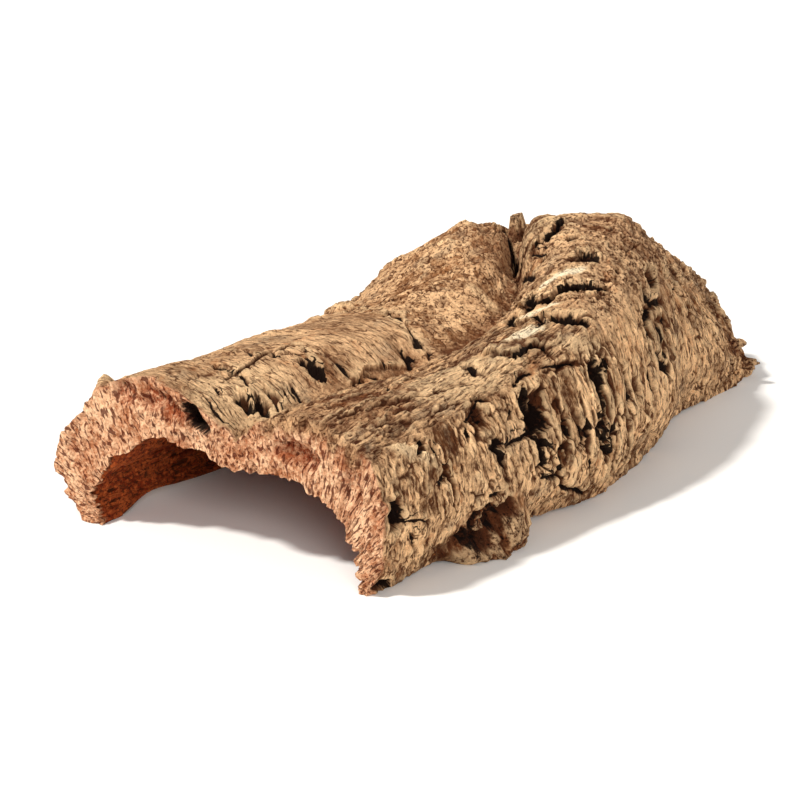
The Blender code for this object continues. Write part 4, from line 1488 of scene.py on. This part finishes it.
@dataclass(frozen=True)
class Cork:
    """Dry cork bark: tan and grey-brown skin, cracks with painted black shade, and red-brown cork where it is
    cut or hollow.
    """

    plates: Tones = Tones((142, 104, 72), (230, 186, 140))
    lumps: Tones = Tones((132, 88, 54), (228, 184, 138))
    hump: Tones = Tones((106, 70, 44), (220, 178, 134))
    fibres: Tones = Tones((84, 48, 28), (222, 178, 132))
    flank: Tones = Tones((94, 56, 30), (244, 198, 148))
    back: Tones = Tones((100, 64, 40), (200, 156, 114))
    sawn: Tones = Tones((172, 106, 68), (238, 192, 152))
    inner: Tones = Tones((116, 40, 14), (178, 88, 42))
    # Near black: painted shade in deep cracks, holes and slits, and also the black specks of rough patches.
    deep: Colour = (16, 5, 2)
    # Dark brown of grain lines and spots, and painted shade in cracks, pits and hollows.
    furrow_and_shade: Colour = (76, 38, 18)
    pore: Colour = (84, 28, 14)
    torn: Colour = (146, 68, 36)
    stain: Colour = (112, 62, 32)
    flake: Colour = (255, 236, 200)
    # Painted highlight on ridges, and the tone of the weaker pale patches.
    crest: Colour = (244, 208, 160)
    rust: Colour = (180, 110, 58)
    grey: Colour = (176, 152, 122)

    def zone(self, graph: Graph, below: Field | tuple, mask: Field, tones: Tones, grain: Field) -> Field:
        """Lays one kind of surface over what is below it.

        Args:
            graph: the material's nodes.
            below: the colour so far.
            mask: where this kind of surface is.
            tones: its colours.
            grain: what chooses between them.

        Returns:
            The colour with it.
        """
        colour = graph.mix(grain, linear(tones.dark), linear(tones.light))
        return graph.mix(mask, below, colour)

    def material(self) -> bpy.types.Material:
        """Makes the material."""
        graph = Graph("cork_bark")
        broad = graph.noise((17, 17, 9), 3.0, 0.6)
        patches = graph.noise((12, 10, 6), 4.0, 0.65)
        crumb = graph.grit(2.2, 5.0, 0.7)
        speck = graph.grit(0.7, 2.0, 0.6)
        pores = graph.noise((1.3, 1.3, 2.2), 1.0, 0.5)
        breaks = graph.noise((5, 5, 5), 3.0, 0.6)
        ragged = graph.noise((1.1, 1.1, 1.1), 2.0, 0.6)
        cross_dash, long_dash = graph.noise((1.0, 3.6, 3.0), 2.0, 0.6), graph.noise((4.6, 1.0, 3.0), 2.0, 0.6)
        even_dash = graph.grit(1.3, 2.0, 0.6)
        cross_gap, cross_each = graph.cells((2.3, 8.0, 6.0), 0.7)
        long_gap, long_each = graph.cells((10.0, 2.0, 6.0), 0.7)
        even_gap, even_each = graph.cells((2.8, 2.8, 2.8), 0.7)

        plates, fibres, flank = graph.mark("plates"), graph.mark("fibres"), graph.mark("flank")
        hump, lumps, sawn = graph.mark("hump"), graph.mark("lumps"), graph.mark("sawn")
        cross, long = plates + flank, fibres
        even = (1 - cross - long).clamped()
        gap = cross_gap * cross + long_gap * long + even_gap * even
        each = cross_each * cross + long_each * long + even_each * even
        rough = graph.mark("stain").step(0.5, 0.9)
        dash = (cross_dash * cross + long_dash * long + even_dash * even) * (1 - rough) + even_dash * rough
        smoother = (1 - 0.6 * plates) * (1 - 0.6 * sawn)
        grain = (0.2 * (each - 0.5) * smoother + 0.4 * broad + 0.3 * crumb + 0.3 * dash).step(0.38, 0.62)

        colour = graph.mix(grain, linear(self.back.dark), linear(self.back.light))
        zones = (plates, self.plates), (lumps, self.lumps), (hump, self.hump), (fibres, self.fibres)
        for mask, tones in (*zones, (flank, self.flank)):
            colour = self.zone(graph, colour, mask, tones, grain)
        colour = graph.mix(patches.step(0.56, 0.70) * (0.4 - 0.25 * lumps), colour, linear(self.rust))
        colour = graph.mix(patches.step(0.46, 0.32) * 0.4, colour, linear(self.grey))
        pale = graph.mark("pale") * (crumb.step(0.36, 0.5) * 0.65 + 0.3)
        flake = graph.mix(graph.mark("pale").step(0.45, 0.9), linear(self.crest), linear(self.flake))
        colour = graph.mix(pale, colour, flake)
        stain = graph.mark("stain") * (crumb.step(0.66, 0.46) * 0.6 + 0.35)
        colour = graph.mix(stain, colour, linear(self.stain))
        colour = self.zone(graph, colour, graph.mark("inner"), self.inner, grain)
        colour = self.zone(graph, colour, sawn, self.sawn, grain)
        torn = graph.mark("torn") * sawn
        colour = graph.mix(torn * (crumb.step(0.62, 0.42) * 0.75 + 0.15), colour, linear(self.torn))
        # Painted highlight on what stands above the relief round it, then painted shade in what lies below
        # it.
        colour = graph.mix(graph.mark("crest").step(0.2, 1.0) * 0.45, colour, linear(self.crest))
        colour = graph.mix(graph.mark("pit").step(0.05, 0.75) * 0.8, colour, linear(self.furrow_and_shade))
        grooves = gap.step(0.09, 0.03) * breaks.step(0.46, 0.58) * (1 - sawn)
        colour = graph.mix(grooves * 0.85, colour, linear(self.furrow_and_shade))
        dashes = dash.step(0.42, 0.35) * (1 - sawn) * (1 - 0.7 * graph.mark("pale")) * (1 - 0.45 * plates)
        colour = graph.mix(dashes * 0.85, colour, linear(self.furrow_and_shade))
        holes = pores.step(0.46, 0.39) * sawn
        colour = graph.mix(holes * 0.85, colour, linear(self.pore))
        # Painted shade in cracks, holes and pits: dark brown, then near black where deepest.
        dark = graph.mark("dark")
        colour = graph.mix(dark.step(0.1, 0.5) * (1 - sawn) * 0.8, colour, linear(self.furrow_and_shade))
        colour = graph.mix(dark.step(0.45, 0.75) * (1 - sawn) * 0.49, colour, linear(self.deep))
        # Painted black shadow in the slits.
        edge = abs(graph.mark("cut")) + 1.4 * (ragged - 0.5)
        slits = edge.step(1.25, 0.85) * graph.mark("near").step(0.25, 0.6)
        colour = graph.mix(slits * 0.98, colour, linear(self.deep))
        spots = crumb.step(0.42, 0.33) * (1 - 0.75 * plates) * (1 - 0.7 * graph.mark("pale"))
        colour = graph.mix(spots * 0.5, colour, linear(self.furrow_and_shade))
        colour = graph.mix(rough * crumb.step(0.52, 0.40) * 0.7, colour, linear(self.furrow_and_shade))
        colour = graph.mix(rough * crumb.step(0.44, 0.36) * 0.95, colour, linear(self.deep))
        shade = (speck - 0.5) * 0.9 + 1.0
        grey = graph.node("ShaderNodeCombineXYZ", {}, {0: shade, 1: shade, 2: shade})
        colour = graph.mix(1.0, colour, Field(graph, grey.outputs[0]), "MULTIPLY")

        normal = graph.bump(dash.step(0.32, 0.48) + 0.3 * gap.step(0.0, 0.1), 0.8, 0.0005)
        normal = graph.bump(crumb, 0.8, 0.0012, normal)
        normal = graph.bump(speck, 0.5, 0.0005, normal)
        graph.feed(graph.shader.inputs["Base Color"], colour)
        graph.feed(graph.shader.inputs["Roughness"], 0.92)
        graph.feed(graph.shader.inputs["Specular IOR Level"], 0.12)
        graph.feed(graph.shader.inputs["Normal"], normal)
        return graph.material


@dataclass(frozen=True)
class Sun:
    """A soft, far light: its name, the way its light falls, its power, its spread in degrees, its colour."""

    name: str
    aim: tuple
    power: float
    spread: float
    colour: tuple

    def hang(self) -> None:
        """Hangs the light."""
        lamp = bpy.data.lights.new(self.name, "SUN")
        lamp.energy = self.power
        lamp.angle = math.radians(self.spread)
        lamp.color = self.colour
        light = bpy.data.objects.new(self.name, lamp)
        bpy.context.scene.collection.objects.link(light)
        light.rotation_euler = Vector(self.aim).to_track_quat("-Z", "Y").to_euler()


@dataclass
class Studio:
    """The pale floor, the soft lights and the camera at the photograph's viewing angle."""

    floor_size: float = 6.0
    floor_colour: Colour = (250, 249, 247)
    camera_at: tuple = (0.3954, -0.6560, 0.265)
    camera_pitch: float = 18.0
    camera_turn: float = 33.2
    lens: float = 90.0
    sensor: float = 36.0
    sky_colour: tuple = (1.0, 0.98, 0.96, 1.0)
    sky_power: float = 0.42
    suns: tuple = (
        Sun("key", (0.42, 0.50, -0.85), 3.2, 6, (1.0, 0.97, 0.92)),
        Sun("fill", (-0.64, 0.64, -0.43), 1.3, 24, (1.0, 0.97, 0.94)),
    )
    below_ground: float = 0.0002

    def floor(self) -> None:
        """Lays the floor."""
        half = self.floor_size / 2
        mesh = bpy.data.meshes.new("floor")
        corners = [(-half, -half, 0), (half, -half, 0), (half, half, 0), (-half, half, 0)]
        mesh.from_pydata(corners, [], [(0, 1, 2, 3)])
        floor = bpy.data.objects.new("floor", mesh)
        floor.location.z = -self.below_ground
        bpy.context.scene.collection.objects.link(floor)
        graph = Graph("floor_paper")
        graph.feed(graph.shader.inputs["Base Color"], linear(self.floor_colour))
        graph.feed(graph.shader.inputs["Roughness"], 0.9)
        mesh.materials.append(graph.material)

    def lights(self) -> None:
        """Hangs the lights, and lights the sky."""
        for sun in self.suns:
            sun.hang()
        world = bpy.data.worlds.new("studio")
        world.use_nodes = True
        background = world.node_tree.nodes["Background"]
        background.inputs["Color"].default_value = self.sky_colour
        background.inputs["Strength"].default_value = self.sky_power
        bpy.context.scene.world = world

    def camera(self) -> None:
        """Sets the camera."""
        camera = bpy.data.objects.new("camera", bpy.data.cameras.new("camera"))
        camera.data.lens = self.lens
        camera.data.sensor_width = self.sensor
        camera.location = self.camera_at
        camera.rotation_euler = (math.radians(90 - self.camera_pitch), 0, math.radians(self.camera_turn))
        bpy.context.scene.collection.objects.link(camera)
        bpy.context.scene.camera = camera
        bpy.context.scene.view_settings.view_transform = "Standard"

    def build(self) -> None:
        """Sets up the whole studio."""
        self.floor()
        self.lights()
        self.camera()


def main() -> None:
    """Builds the bark and the studio."""
    logging.basicConfig(level=logging.INFO, format="%(name)s: %(message)s")
    Bark().build(Cork())
    Studio().build()


if __name__ == "__main__":
    main()
